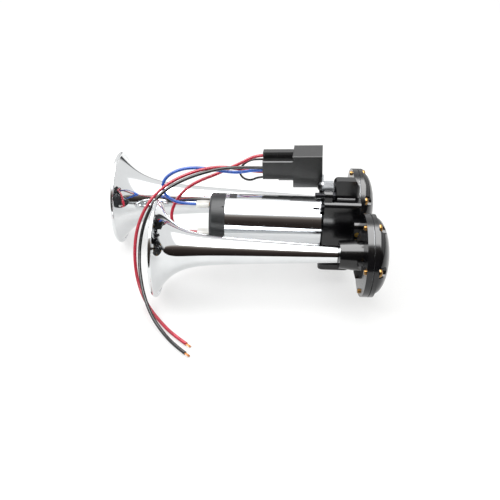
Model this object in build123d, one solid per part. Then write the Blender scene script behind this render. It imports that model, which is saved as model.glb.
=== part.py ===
"""Twin-trumpet electric air horn for a car: motor, vane pump, two drivers, relay and wires.

Frame: millimetres, +X from the bells towards the drivers, +Z up, +Y from the short
trumpet to the long one. The origin lies under the middle of the horn, in the plane
that the larger bell stands on.
"""
from build123d import *
import math
import os

os.makedirs("parts", exist_ok=True)

# ---------------------------------------------------------------- driving dimensions
# Trumpets
axis_spacing = 88.0          # between the two trumpet axes
long_reach = 203.45          # long bell's mouth to its driver's face
short_reach = 157.05         # short bell's mouth to its driver's face
long_bell_radius = 40.2
short_bell_radius = 37.5
long_flare_length = 15.5     # distance over which the flare falls by a factor e
short_flare_length = 11.3
throat_radius = 6.4          # outside radius where the trumpet enters its driver
trumpet_taper = 0.0475       # radius gained per millimetre of tube, away from the driver
trumpet_wall = 1.4
lip_radius = 1.5             # rolled bead round the mouth
lip_drop = 0.8               # flare's outside below the bead's crest, share of its radius
spigot_radius = 5.8          # tail of the trumpet, inside the driver's neck
spigot_length = 12.0

# Drivers
driver_radius = 31.85
neck_length = 17.1
neck_tip_radius = 10.6
neck_root_radius = 12.4
flange_thickness = 4.7
diaphragm_thickness = 0.3
gasket_thickness = 0.3
cap_rim_thickness = 3.2
dome_height = 11.5
dome_radius = 29.5
seal_radius = 30.8           # diaphragm and gasket, set in from the rim
chamber_inner_radius = 10.0
chamber_outer_radius = 23.0
chamber_depth = 3.0
cap_hollow_radius = 20.0
cap_wall = 2.2
driver_screw_count = 5
driver_screw_circle = 27.75
driver_screw_lean = 14.0     # degrees from the top to the first screw, away from the motor
driver_screw_radius = 1.75
screw_pad_radius = 4.0
screw_pocket_radius = 4.2
screw_seat = 9.2             # head's seat on its pad, from the driver's face
screw_tail = 1.6             # what a screw shows behind the driver's face
screw_grip = 4.2             # tail of the two screws that enter the manifold
pan_head_radius = 3.4
pan_head_height = 2.6
pan_head_edge = 1.0          # straight edge below the dome
pan_recess_depth = 1.4
pan_recess_size = 1.9
nut_flats = 6.0
nut_height = 2.4
rib_thickness = 3.0
rib_height = 4.5
rib_reach = 20.3
rib_tip_share = 0.6          # of the rib's height, at its tip

# Motor
motor_rise = 4.5             # motor axis above the trumpet axes
motor_radius = 21.5
can_length = 77.8
can_wall = 1.2
end_cap_length = 12.8
end_cap_round = 2.6
end_cap_wall = 2.2
cap_spigot_length = 3.0
can_edge = 1.5               # bevel at the pump end
stake_angle = 37.0           # dimple in the end cap's side, degrees from the top
stake_radius = 0.9
stake_depth = 0.8
window_length = 5.8
window_width = 8.5
window_offset = 3.0          # from the end cap's edge
shaft_radius = 2.0
shaft_clearance = 0.03
shaft_hole_gap = 0.6         # round the shaft where it leaves the can
shaft_inset = 0.8            # shaft's end, from the end cap's wall
bush_radius = 4.0
bush_length = 6.0
bush_wall = 2.5
bearing_cup_radius = 6.2
bearing_cup_height = 3.4
magnet_thickness = 4.0
magnet_length = 50.0
magnet_angle = 130.0
air_gap = 0.6
core_start = 17.0            # from the end cap's edge
core_length = 40.0
slot_count = 5
slot_mouth = 1.6
slot_circle_share = 0.69     # of the core's radius
slot_share = 0.2
winding_share = 0.86
winding_bundle = 6.0         # length of the turns at each end of the core
winding_bore = 5.0
winding_gap = 0.25
commutator_radius = 5.5
commutator_length = 9.0
commutator_lead = 1.0        # from the end cap's edge, into the cap
commutator_slit = 0.5
commutator_slit_depth = 0.7
brush_gap = 0.3
terminal_rise = 13.0         # spade terminals above and below the motor axis
blade_width = 6.3
blade_thickness = 0.8
blade_length = 9.0
brush_side = 4.0
brush_length = 6.0
holder_wall = 0.6
holder_start = 0.9           # past the end cap's edge
holder_gap = 1.0             # above the brush's working end
motor_screw_across = 11.0
motor_screw_radius = 1.5
motor_screw_tail = 1.0       # past the can's wall
countersink_radius = 3.0
countersink_depth = 1.9

# Pump and manifold
pump_half_width = 20.0
pump_top = 26.4              # above the motor axis
pump_bottom = 26.2           # below the motor axis
pump_corner = 3.8
base_thickness = 4.5
pump_body_thickness = 14.75
manifold_thickness = 9.0
arm_end_gap = 1.2            # between a manifold arm and the driver's neck
arm_thickness = 5.25
arm_top = 14.5
arm_bottom = 25.9
arm_corner = 4.0
chamber_radius = 15.0
chamber_offset = 1.8         # rotor chamber's centre below the motor axis
rotor_chamber_depth = 10.0
rotor_radius = 12.5
rotor_end_gap = 0.3
vane_count = 4
vane_thickness = 1.8
vane_height = 5.6
vane_inset = 0.2             # below the rotor's rim
vane_slot_spare = 0.4        # slot deeper than its vane
outlet_inset = 3.0           # outlet, in from the chamber's wall
gallery_rise = 5.4           # air gallery above the motor axis
gallery_radius = 2.0
gallery_depth = 2.65         # gallery's axis behind the driver's face
inlet_radius = 3.0
inlet_bore = 1.8
inlet_length = 2.4
inlet_across = 18.5          # driver's inlet, sideways from its own axis
pump_screw_radius = 2.0
pump_screw_across = 15.5
pump_screw_up = 20.5
pump_screw_down = 20.5
pump_thread_depth = 6.0
cheese_head_radius = 3.2
cheese_head_height = 2.6
hex_socket = 3.0
socket_share = 0.55          # of the head's height
foot_thickness = 4.8
foot_half_width = 24.0
foot_overhang = 1.8          # past the pump's end towards the bells
foot_length = 25.0
foot_corner = 4.0
insert_radius = 4.0
insert_bore = 2.5            # tapping bore of an M6 thread
insert_length = 8.0
lug_across = -12.95          # lug's middle, sideways from the motor axis
lug_radius = 4.0
lug_thickness = 5.8
lug_bolt_radius = 1.5
lug_bolt_rise = 3.3          # above the pump's top
lug_bolt_standoff = 2.4      # between the head and the lug
lug_bolt_head_radius = 2.25
lug_bolt_head = 5.0
lug_bolt_socket = 2.5
lug_nut_flats = 5.5
lug_nut_height = 2.2
intake_length = 20.75
intake_start = 6.85          # from the pump's end
intake_near = -10.65         # near side, from the motor axis
intake_width = 8.3
intake_height = 15.0
intake_wall = 1.6
intake_end_wall = 2.75
intake_round = 4.0
intake_slope_length = 3.65
intake_slope_height = 6.0
intake_corner = 3.0
intake_foot = 1.8            # concave foot along the near side
intake_foot_start = 3.45
intake_foot_length = 13.85
intake_bore = 2.0
intake_bore_share = 0.7      # along the rotor chamber
intake_slots = 4
intake_slot_width = 1.6
intake_slot_low = 2.0
intake_slot_high = 7.0
filter_height = 6.0
filter_gap = 0.2

# Relay, its socket and its bracket
relay_length = 23.8
relay_side = 27.0
relay_ahead = 0.1            # near lower corner of the clamped face: past the pump's end,
relay_near = 13.5            # sideways from the motor axis
relay_rise = 24.55           # and above it
relay_pitch = -3.8           # degrees about Y, and then about Z
relay_yaw = -4.6
relay_round = 0.8
relay_wall = 1.2
relay_base_thickness = 2.6
relay_pin_thickness = 0.8
relay_pin_length = 10.5
relay_pin_hold = 1.5         # what a pin shows inside its base
relay_pin_pitch = 8.0        # pins in a column
relay_pin_reach = 8.4        # pins at its two sides
relay_lug_reach = 8.6        # bolt's axis, in front of the near side
relay_lug_rise = 5.65        # and above the underside
relay_lug_radius = 3.8
relay_bolt_radius = 2.0
relay_bolt_head_radius = 3.7
relay_bolt_head_height = 2.4
relay_bolt_tail = 1.0
relay_nut_flats = 7.0
relay_nut_height = 3.85
yoke_thickness = 1.6
yoke_half_height = 2.6
coil_across = 5.8            # coil's axis, sideways and down from the relay's middle
coil_radius = 6.0
coil_core_radius = 2.3
coil_length = 11.0
core_tip = 1.2               # core past the coil
socket_length = 24.8
socket_inset = 1.0
socket_drop = 6.75           # underside, below the relay's middle
socket_lift = 9.1            # top, above the relay's middle
socket_edge = 0.8
socket_ridge_near = 5.0      # raised ridge's near side, before the relay's middle
socket_ridge_width = 7.2
socket_ridge_height = 5.1
skirt_drop = 2.2             # round the lowest pin
skirt_side = 1.0             # wider than the ridge, on both sides
skirt_past = 2.0             # past the pins' ends
groove_count = 3
groove_width = 1.2
groove_depth = 0.5
groove_low = 1.0
groove_high = 4.2
pin_ease = 0.2               # round each pin in the socket
pin_end_gap = 0.5
bracket_thickness = 1.2
bracket_near = 9.0           # foot's near edge, from the motor axis
bracket_far = 19.5
bracket_drop = 5.0           # foot's lower edge, below the pump screw
bracket_foot_top = 0.4       # foot's upper edge, below the pump's top
bracket_seat = 2.0           # recess for it in the pump's base plate
bracket_arm_radius = 3.6
bracket_arm_far = 6.0        # past the relay's near side
bracket_arm_near = 4.4       # its root, in front of the relay's near side
bracket_arm_root = 0.5       # below the relay's underside

# Wires
wire_radius = 1.3
jumper_radius = 0.9
copper_radius = 0.8
copper_length = 5.0
wire_hole_clearance = 0.15
wire_hole_depth = 3.0
wire_rest_gap = 0.05         # between a lying wire and the surface
sleeve_length = 10.3
sleeve_width = 7.4
sleeve_height = 4.0
sleeve_wall = 0.5
sleeve_end_wall = 1.2
sleeve_start = 1.0           # from the end cap
sleeve_corner = 1.2
receptacle_length = 8.0

# Clearances
slip = 0.1                   # one fixed piece inside another
screw_clearance = 0.2        # screws in their through holes
thread_clearance = 0.05      # screws in nuts and tapped holes

# ---------------------------------------------------------------- places worked out
driver_depth = (flange_thickness + diaphragm_thickness + gasket_thickness
                + cap_rim_thickness + dome_height)
overall_length = long_reach + driver_depth
face_x = overall_length / 2 - driver_depth
long_y = (axis_spacing + short_bell_radius - long_bell_radius) / 2
short_y = long_y - axis_spacing
axis_z = long_bell_radius
motor_y = (long_y + short_y) / 2
motor_z = axis_z + motor_rise

pump_x = face_x - base_thickness - pump_body_thickness - manifold_thickness
body_x = pump_x + base_thickness
manifold_x = body_x + pump_body_thickness
can_x = pump_x - can_length
end_cap_x = can_x - end_cap_length
arm_reach = axis_spacing / 2 - neck_root_radius - arm_end_gap
driver_screw_turns = [360 / driver_screw_count * k for k in range(driver_screw_count)]


# ---------------------------------------------------------------- helpers
def rod(x0, x1, radius, y=0.0, z=0.0):
    """Solid cylinder along X from x0 to x1."""
    return Pos((x0 + x1) / 2, y, z) * Rot(0, 90, 0) * Cylinder(radius, x1 - x0)


def tube(x0, x1, outer, inner, y=0.0, z=0.0):
    """Hollow cylinder along X."""
    return rod(x0, x1, outer, y, z) - rod(x0 - 1, x1 + 1, inner, y, z)


def block(x0, x1, y0, y1, z0, z1):
    """Plain box from its corners."""
    return Pos((x0 + x1) / 2, (y0 + y1) / 2, (z0 + z1) / 2) * Box(x1 - x0, y1 - y0, z1 - z0)


def slab_x(x0, x1, y0, y1, z0, z1, corner):
    """Plate across X with rounded corners in its outline."""
    plane = Plane(origin=(x0, (y0 + y1) / 2, (z0 + z1) / 2), x_dir=(0, 1, 0), z_dir=(1, 0, 0))
    return extrude(plane * RectangleRounded(y1 - y0, z1 - z0, corner), x1 - x0)


def slab_z(x0, x1, y0, y1, z0, z1, corner):
    """Plate across Z with rounded corners in its outline."""
    plane = Plane(origin=((x0 + x1) / 2, (y0 + y1) / 2, z0))
    return extrude(plane * RectangleRounded(x1 - x0, y1 - y0, corner), z1 - z0)


def turned(*edges):
    """Solid of revolution about X from a closed outline drawn in the XY plane."""
    return revolve(make_face(Curve() + list(edges)), Axis.X, 360)


def ring_of(count, radius, start=0.0):
    """(y, z) places evenly round the X axis, the first at `start` degrees from +Y."""
    turns = [math.radians(start + 360 * k / count) for k in range(count)]
    return [(radius * math.cos(a), radius * math.sin(a)) for a in turns]


def hexagon(x0, x1, flats):
    """Hexagon bar along X with two flats square to Z."""
    plane = Plane(origin=(x0, 0, 0), x_dir=(0, 1, 0), z_dir=(1, 0, 0))
    return extrude(plane * RegularPolygon(flats / 2, 6, major_radius=False), x1 - x0)


def nut(x0, x1, flats, bore):
    """Hexagon nut along X with a plain bore."""
    return hexagon(x0, x1, flats) - rod(x0 - 1, x1 + 1, bore)


def cross_recess(x, depth, size):
    """Tool for a cross-shaped driver recess cut into a head whose top is at x."""
    arm = block(x - depth, x + 1, -size, size, -size / 4, size / 4)
    return arm + Rot(90, 0, 0) * arm


def domed(seat, radius, height, edge):
    """Screw head on the +X side of its seat: a straight edge below a low dome."""
    top = seat + height
    return turned(
        Polyline((seat, 0), (seat, radius), (seat + edge, radius)),
        ThreePointArc((seat + edge, radius), (top - 0.13 * height, radius * 0.72), (top, radius * 0.35)),
        Polyline((top, radius * 0.35), (top, 0), (seat, 0)))


def cheese_screw(seat, tip, radius, head_radius, head_height, socket):
    """Cylinder-head screw along X with its head on the -X side and a hexagon socket."""
    screw = rod(seat - head_height, seat, head_radius) + rod(seat, tip, radius)
    return screw - hexagon(seat - head_height - 1, seat - head_height * (1 - socket_share), socket)


def save(shape, node):
    """Write one node's solids."""
    export_step(shape, f"parts/{node}.step")


# ---------------------------------------------------------------- trumpets
def trumpet(reach, bell_radius, flare_length):
    """Flared tube: a slow cone plus an exponential flare, with a rolled lip and a tail spigot."""
    tail = reach - neck_length
    cone_at_mouth = throat_radius + trumpet_taper * tail
    flare = bell_radius - lip_drop * lip_radius - cone_at_mouth

    def outside(s):
        return throat_radius + trumpet_taper * (tail - s) + flare * math.exp(-(s - lip_radius) / flare_length)

    def slope(s):
        return -trumpet_taper - flare / flare_length * math.exp(-(s - lip_radius) / flare_length)

    stations = [lip_radius + (tail - lip_radius) * (k / 11) ** 2.2 for k in range(12)]
    outer = [(s, outside(s)) for s in stations]
    inner = []
    for s in stations:
        stretch = math.hypot(1, slope(s))
        inner.append((s + trumpet_wall * slope(s) / stretch, outside(s) - trumpet_wall / stretch))
    bore = spigot_radius - trumpet_wall
    end = tail + spigot_length
    shell = turned(
        Spline(*outer),
        Polyline(outer[-1], (tail, spigot_radius), (end, spigot_radius), (end, bore),
                 (tail - 4, bore), inner[-2]),
        Spline(*reversed(inner[:-1])),
        Line(inner[0], outer[0]),
    )
    lip = Pos(lip_radius, 0, 0) * Rot(0, 90, 0) * Torus(bell_radius - lip_radius, lip_radius)
    return shell + lip


save(Pos(face_x - long_reach, long_y, axis_z) * trumpet(long_reach, long_bell_radius, long_flare_length),
     "trumpet_long")
save(Pos(face_x - short_reach, short_y, axis_z) * trumpet(short_reach, short_bell_radius, short_flare_length),
     "trumpet_short")


# ---------------------------------------------------------------- drivers
base_face = flange_thickness                        # diaphragm's seat
gasket_x = base_face + diaphragm_thickness
cap_x = gasket_x + gasket_thickness
dome_x = cap_x + cap_rim_thickness
screw_hole = driver_screw_radius + screw_clearance
inlet_rise = motor_rise + gallery_rise              # inlet above its driver's own axis
at_screw = Pos(0, driver_screw_circle, 0)
flat_outwards = Rot(30, 0, 0)
nut_pocket = at_screw * flat_outwards * hexagon(-1, nut_height, nut_flats + 2 * slip)


def screw_turns(inner_side):
    """Degrees from +Y to each of a driver's screws; inner_side faces the motor."""
    return [90 + inner_side * driver_screw_lean + turn for turn in driver_screw_turns]


def free_turns(inner_side):
    """Those screws that carry a nut; the others enter the manifold."""
    return [turn for turn in screw_turns(inner_side) if inner_side * math.cos(math.radians(turn)) < 0]


def driver_base(inner_side):
    """Flange with the trumpet's neck, air chamber, nozzle and inlet; inner_side faces the motor."""
    socket_bore = spigot_radius + slip
    throat_bore = spigot_radius - trumpet_wall
    socket_end = spigot_length - neck_length
    chamber_floor = base_face - chamber_depth
    base = turned(Polyline(
        (-neck_length, socket_bore), (-neck_length, neck_tip_radius), (0, neck_root_radius),
        (0, driver_radius), (base_face, driver_radius), (base_face, chamber_outer_radius),
        (chamber_floor, chamber_outer_radius), (chamber_floor, chamber_inner_radius),
        (base_face, chamber_inner_radius), (base_face, throat_bore), (socket_end, throat_bore),
        (socket_end, socket_bore), (-neck_length, socket_bore)))
    rib = extrude(make_face(Polyline(
        (0, neck_root_radius - 1), (-rib_height, neck_root_radius - 2), (-rib_height, neck_root_radius + 2),
        (-rib_height * rib_tip_share, rib_reach), (0, rib_reach), (0, neck_root_radius - 1))),
        rib_thickness / 2, both=True)
    for turn in (90, -90, 90 + 90 * inner_side):            # top, bottom and outer side
        base += Rot(turn, 0, 0) * rib
    for turn in screw_turns(inner_side):
        base -= Rot(turn, 0, 0) * rod(-1, base_face + 1, screw_hole, driver_screw_circle)
    for turn in free_turns(inner_side):
        base -= Rot(turn, 0, 0) * nut_pocket
    y = inner_side * inlet_across
    base += rod(-inlet_length, 0, inlet_radius, y, inlet_rise)
    base -= rod(-inlet_length - 1, chamber_floor + 1, inlet_bore, y, inlet_rise)
    return base


def driver_cap(inner_side):
    """Rim and dome that clamp the diaphragm, with a pad in an open pocket at each screw."""
    outside = turned(
        Polyline((dome_x, 0), (cap_x, 0), (cap_x, driver_radius), (dome_x, driver_radius),
                 (dome_x, dome_radius)),
        EllipticalCenterArc((dome_x, 0), dome_height, dome_radius, arc_size=90),
        Line((dome_x + dome_height, 0), (dome_x, 0)))
    hollow = turned(
        Polyline((dome_x, 0), (cap_x - 1, 0), (cap_x - 1, cap_hollow_radius), (dome_x, cap_hollow_radius)),
        EllipticalCenterArc((dome_x, 0), dome_height - cap_wall, cap_hollow_radius, arc_size=90),
        Line((dome_x + dome_height - cap_wall, 0), (dome_x, 0)))
    cap = outside - hollow
    pocket = rod(screw_seat, dome_x + dome_height, screw_pocket_radius, driver_screw_circle, 0)
    pocket += block(screw_seat, dome_x + dome_height, driver_screw_circle, driver_radius,
                    -screw_pocket_radius, screw_pocket_radius)
    pad = rod(cap_x, screw_seat, screw_pad_radius, driver_screw_circle, 0)
    hole = rod(cap_x - 1, screw_seat + 1, screw_hole, driver_screw_circle, 0)
    for turn in screw_turns(inner_side):
        cap = cap - Rot(turn, 0, 0) * pocket + Rot(turn, 0, 0) * pad - Rot(turn, 0, 0) * hole
    return cap


def drilled_disc(x0, x1, outer, inner, inner_side):
    """Flat seal or diaphragm with its driver's screw holes."""
    disc = rod(x0, x1, outer) if inner == 0 else tube(x0, x1, outer, inner)
    for turn in screw_turns(inner_side):
        disc -= Rot(turn, 0, 0) * rod(x0 - 1, x1 + 1, screw_hole, driver_screw_circle)
    return disc


def driver_screw(tail):
    """Cross-recessed pan-head screw along X, seated in its pocket."""
    screw = domed(screw_seat, pan_head_radius, pan_head_height, pan_head_edge)
    screw += rod(-tail, screw_seat, driver_screw_radius)
    return screw - cross_recess(screw_seat + pan_head_height, pan_recess_depth, pan_recess_size)


driver_nut = flat_outwards * nut(0, nut_height, nut_flats, driver_screw_radius + thread_clearance)
for name, y, inner_side in (("short", short_y, 1), ("long", long_y, -1)):
    place = Pos(face_x, y, axis_z)
    free = free_turns(inner_side)
    save(place * driver_base(inner_side), f"driver_base_{name}")
    save(place * drilled_disc(base_face, gasket_x, seal_radius, 0, inner_side), f"diaphragm_{name}")
    save(place * drilled_disc(gasket_x, cap_x, seal_radius, chamber_outer_radius, inner_side),
         f"gasket_{name}")
    save(place * driver_cap(inner_side), f"driver_cap_{name}")
    screws = []
    for turn in screw_turns(inner_side):
        tail = screw_tail if turn in free else screw_grip
        screws.append(place * Rot(turn, 0, 0) * at_screw * driver_screw(tail))
    save(Compound(screws), f"driver_screws_{name}")
    nuts = [place * Rot(turn, 0, 0) * at_screw * driver_nut for turn in free]
    save(Compound(nuts), f"driver_nuts_{name}")


# ---------------------------------------------------------------- motor
motor = Pos(0, motor_y, motor_z)
can_bore = motor_radius - can_wall
bush_bore = bush_radius + thread_clearance
shaft_hole = shaft_radius + shaft_hole_gap
cup_depth = bearing_cup_height - can_wall

can = turned(Polyline(
    (can_x, can_bore), (can_x, motor_radius),
    (pump_x - can_edge, motor_radius), (pump_x, motor_radius - can_edge),
    (pump_x, bearing_cup_radius), (pump_x + bearing_cup_height, bearing_cup_radius),
    (pump_x + bearing_cup_height, shaft_hole), (pump_x + cup_depth, shaft_hole),
    (pump_x + cup_depth, bush_bore), (pump_x - can_wall, bush_bore), (pump_x - can_wall, can_bore),
    (can_x, can_bore)))
can -= block(can_x + window_offset, can_x + window_offset + window_length,
             -window_width / 2, window_width / 2, 0, motor_radius + 1)
for side in (-1, 1):
    can -= rod(pump_x - 3, pump_x + 1, motor_screw_radius + thread_clearance, 0, side * motor_screw_across)
save(motor * can, "motor_can")

cap_inner = can_bore - slip - end_cap_wall
cap_floor = end_cap_x + end_cap_wall
boss_end = cap_floor + bush_length
end_cap = turned(
    Polyline((end_cap_x, 0), (end_cap_x, motor_radius - end_cap_round)),
    ThreePointArc((end_cap_x, motor_radius - end_cap_round),
                  (end_cap_x + end_cap_round * 0.293, motor_radius - end_cap_round * 0.293),
                  (end_cap_x + end_cap_round, motor_radius)),
    Polyline((end_cap_x + end_cap_round, motor_radius), (can_x, motor_radius), (can_x, can_bore - slip),
             (can_x + cap_spigot_length, can_bore - slip), (can_x + cap_spigot_length, cap_inner),
             (cap_floor, cap_inner), (cap_floor, bush_radius + bush_wall),
             (boss_end, bush_radius + bush_wall), (boss_end, bush_bore), (cap_floor, bush_bore),
             (cap_floor, 0), (end_cap_x, 0)))
for side in (-1, 1):
    end_cap -= block(end_cap_x - 1, end_cap_x + end_cap_wall + 1,
                     -blade_width / 2 - slip, blade_width / 2 + slip,
                     side * terminal_rise - blade_thickness / 2 - slip,
                     side * terminal_rise + blade_thickness / 2 + slip)
end_cap -= (Rot(stake_angle, 0, 0) * Pos(can_x - 2 * stake_radius, 0, motor_radius)
            * Cylinder(stake_radius, 2 * stake_depth))
save(motor * end_cap, "motor_end_cap")

core_x = can_x + core_start
magnet_x = core_x - (magnet_length - core_length) / 2
magnet_outer = can_bore - slip
magnet_inner = magnet_outer - magnet_thickness
core_radius = magnet_inner - air_gap
magnet_section = make_face(Polyline(
    (magnet_x, magnet_inner), (magnet_x + magnet_length, magnet_inner),
    (magnet_x + magnet_length, magnet_outer), (magnet_x, magnet_outer), (magnet_x, magnet_inner)))
magnet = Rot(-magnet_angle / 2, 0, 0) * revolve(magnet_section, Axis.X, magnet_angle)
save(Compound([motor * magnet, motor * Rot(180, 0, 0) * magnet]), "motor_magnets")

slot_circle = core_radius * slot_circle_share
slot_radius = core_radius * slot_share
core = tube(core_x, core_x + core_length, core_radius, shaft_radius + thread_clearance)
for y, z in ring_of(slot_count, slot_circle):
    core -= rod(core_x - 1, core_x + core_length + 1, slot_radius, y, z)
for k in range(slot_count):
    opening = block(core_x - 1, core_x + core_length + 1, slot_circle, core_radius + 1,
                    -slot_mouth / 2, slot_mouth / 2)
    core -= Rot(360 / slot_count * k, 0, 0) * opening
save(motor * core, "armature_core")

winding_start = core_x - winding_gap - winding_bundle
winding_end = core_x + core_length + winding_gap + winding_bundle
winding_radius = core_radius * winding_share
windings = tube(winding_start, winding_start + winding_bundle, winding_radius, winding_bore)
windings += tube(winding_end - winding_bundle, winding_end, winding_radius, winding_bore)
for y, z in ring_of(slot_count, slot_circle):
    windings += rod(winding_start + winding_bundle / 2, winding_end - winding_bundle / 2,
                    slot_radius - winding_gap, y, z)
save(motor * windings, "armature_windings")

commutator_x = can_x - commutator_lead
commutator = tube(commutator_x, commutator_x + commutator_length, commutator_radius,
                  shaft_radius + thread_clearance)
for k in range(slot_count):
    slit = block(commutator_x - 1, commutator_x + commutator_length + 1,
                 commutator_radius - commutator_slit_depth, commutator_radius + 1,
                 -commutator_slit / 2, commutator_slit / 2)
    commutator -= Rot(360 / slot_count * (k + 0.5), 0, 0) * slit
save(motor * commutator, "commutator")

shaft_start = cap_floor + shaft_inset
rotor_start = body_x + rotor_end_gap
rotor_end = body_x + rotor_chamber_depth - rotor_end_gap
save(motor * rod(shaft_start, rotor_end, shaft_radius), "motor_shaft")

bush_inner = shaft_radius + shaft_clearance
save(motor * tube(cap_floor, boss_end, bush_radius, bush_inner), "bush_end_cap")
drive_bush_end = pump_x + cup_depth
save(motor * tube(drive_bush_end - bush_length, drive_bush_end, bush_radius, bush_inner), "bush_drive")

holder_x = can_x + holder_start
holder_side = brush_side + 2 * slip + 2 * holder_wall
brush_bottom = commutator_radius + brush_gap
brushes = []
for name, side in (("upper", 1), ("lower", -1)):
    turn = Rot(0 if side > 0 else 180, 0, 0)
    blade = block(end_cap_x - blade_length, holder_x + holder_side, -blade_width / 2, blade_width / 2,
                  terminal_rise - blade_thickness / 2, terminal_rise + blade_thickness / 2)
    holder = block(holder_x, holder_x + holder_side, -holder_side / 2, holder_side / 2,
                   brush_bottom + holder_gap, terminal_rise)
    holder -= block(holder_x + holder_wall, holder_x + holder_side - holder_wall,
                    -holder_side / 2 + holder_wall, holder_side / 2 - holder_wall,
                    0, terminal_rise - blade_thickness / 2)
    save(motor * turn * (blade + holder), f"brush_terminal_{name}")
    brush_x = holder_x + holder_wall + slip
    brushes.append(motor * turn * block(brush_x, brush_x + brush_side, -brush_side / 2, brush_side / 2,
                                        brush_bottom, brush_bottom + brush_length))
save(Compound(brushes), "motor_brushes")


# ---------------------------------------------------------------- pump
def pump_outline(x0, x1):
    """Plate in the pump's outline."""
    return slab_x(x0, x1, -pump_half_width, pump_half_width, -pump_bottom, pump_top, pump_corner)


pump_screw_places = [(side * pump_screw_across, z) for side in (-1, 1)
                     for z in (-pump_screw_down, pump_screw_up)]
pump_screw_hole = pump_screw_radius + screw_clearance

lug_z = pump_top + lug_bolt_rise
lug_end = pump_x + lug_thickness
base_plate = pump_outline(pump_x, body_x)
base_plate += rod(pump_x, lug_end, lug_radius, lug_across, lug_z)
base_plate += block(pump_x, lug_end, lug_across - lug_radius, lug_across + lug_radius, pump_top, lug_z)
base_plate -= block(body_x, lug_end + 1, lug_across - 2 * lug_radius, lug_across + 2 * lug_radius,
                    0, pump_top)
base_plate -= rod(pump_x - 1, pump_x + bearing_cup_height + slip, bearing_cup_radius + slip)
base_plate -= rod(pump_x, body_x + 1, shaft_hole)
base_plate -= rod(pump_x - 1, lug_end + 1, lug_bolt_radius + screw_clearance, lug_across, lug_z)
bracket_low = pump_screw_up - bracket_drop
base_plate -= block(pump_x - 1, pump_x + bracket_seat, bracket_near - slip, pump_half_width + 1,
                    bracket_low - slip, pump_top + 1)
for y, z in pump_screw_places:
    base_plate -= rod(pump_x - 1, body_x + 1, pump_screw_hole, y, z)
motor_screw_hole = motor_screw_radius + screw_clearance
countersink = turned(Polyline(
    (body_x - countersink_depth, 0), (body_x - countersink_depth, motor_screw_hole),
    (body_x, countersink_radius), (body_x + 1, countersink_radius), (body_x + 1, 0),
    (body_x - countersink_depth, 0)))
for side in (-1, 1):
    base_plate -= Pos(0, 0, side * motor_screw_across) * countersink
    base_plate -= rod(pump_x - 1, body_x, motor_screw_hole, 0, side * motor_screw_across)
save(motor * base_plate, "pump_base")

screw_tip = pump_x - can_wall - motor_screw_tail
screw_rim = countersink_radius - screw_clearance
motor_screw = turned(Polyline(
    (screw_tip, 0), (screw_tip, motor_screw_radius), (body_x - countersink_depth + slip, motor_screw_radius),
    (body_x - 3 * slip, screw_rim), (body_x - slip, screw_rim), (body_x - slip, 0), (screw_tip, 0)))
save(Compound([motor * Pos(0, 0, side * motor_screw_across) * motor_screw for side in (-1, 1)]),
     "motor_screws")

intake_x = pump_x + intake_start
intake_end = intake_x + intake_length
intake_far = intake_near + intake_width
intake_mid = intake_near + intake_width / 2
intake_top = pump_top + intake_height
intake_bore_x = body_x + rotor_chamber_depth * intake_bore_share
bore_edge = abs(intake_mid) + intake_bore
intake_bore_depth = pump_top + chamber_offset - math.sqrt(chamber_radius ** 2 - bore_edge ** 2)
outlet_y = chamber_radius - outlet_inset
foot_z = -pump_bottom - foot_thickness
insert_x = body_x + pump_body_thickness / 2

pump_body = pump_outline(body_x, manifold_x)
pump_body += slab_z(pump_x - foot_overhang, pump_x - foot_overhang + foot_length,
                    -foot_half_width, foot_half_width, foot_z, -pump_bottom, foot_corner)
pump_body -= rod(body_x - 1, body_x + rotor_chamber_depth, chamber_radius, 0, -chamber_offset)
pump_body -= rod(body_x + rotor_chamber_depth - 2, manifold_x + 1, inlet_bore, outlet_y, gallery_rise)
pump_body -= Pos(intake_bore_x, intake_mid, pump_top) * Cylinder(intake_bore, 2 * intake_bore_depth)
for y, z in pump_screw_places:
    pump_body -= rod(body_x - 1, manifold_x + 1, pump_screw_hole, y, z)
pump_body -= Pos(insert_x, 0, foot_z) * Cylinder(insert_radius + thread_clearance, 2 * (insert_length + slip))
save(motor * pump_body, "pump_body")

insert = Pos(insert_x, 0, foot_z + insert_length / 2) * (
    Cylinder(insert_radius, insert_length) - Cylinder(insert_bore, insert_length + 1))
save(motor * insert, "mount_insert")

rotor = tube(rotor_start, rotor_end, rotor_radius, shaft_radius + thread_clearance)
vane_tip = rotor_radius - vane_inset
vanes = []
for k in range(vane_count):
    turn = Rot(360 / vane_count * (k + 0.5), 0, 0)
    rotor -= turn * block(rotor_start - 1, rotor_end + 1, rotor_radius - vane_height - vane_slot_spare,
                          rotor_radius + 1, -vane_thickness / 2 - slip, vane_thickness / 2 + slip)
    vanes.append(motor * turn * block(rotor_start + slip, rotor_end - slip, vane_tip - vane_height,
                                      vane_tip, -vane_thickness / 2, vane_thickness / 2))
save(motor * rotor, "pump_rotor")
save(Compound(vanes), "pump_vanes")

# Manifold: plate behind the pump with an arm to each driver and a drilled gallery
gallery_x = face_x - gallery_depth
manifold = pump_outline(manifold_x, face_x)
manifold += slab_x(face_x - arm_thickness, face_x, -arm_reach, arm_reach, -arm_bottom, arm_top, arm_corner)
gallery = Pos(gallery_x, 0, gallery_rise) * Rot(90, 0, 0) * Cylinder(gallery_radius, 2 * arm_reach + 2)
manifold -= gallery
manifold -= rod(manifold_x - 1, gallery_x, inlet_bore, outlet_y, gallery_rise)
for side in (-1, 1):
    driver_y = side * axis_spacing / 2
    manifold -= rod(face_x - inlet_length - slip, face_x + 1, inlet_radius + slip,
                    driver_y - side * inlet_across, gallery_rise)
    tapped = rod(face_x - screw_grip - slip, face_x + 1, driver_screw_radius + thread_clearance,
                 driver_screw_circle)
    free = free_turns(-side)
    for turn in screw_turns(-side):
        if turn not in free:
            manifold -= Pos(0, driver_y, -motor_rise) * Rot(turn, 0, 0) * tapped
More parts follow.
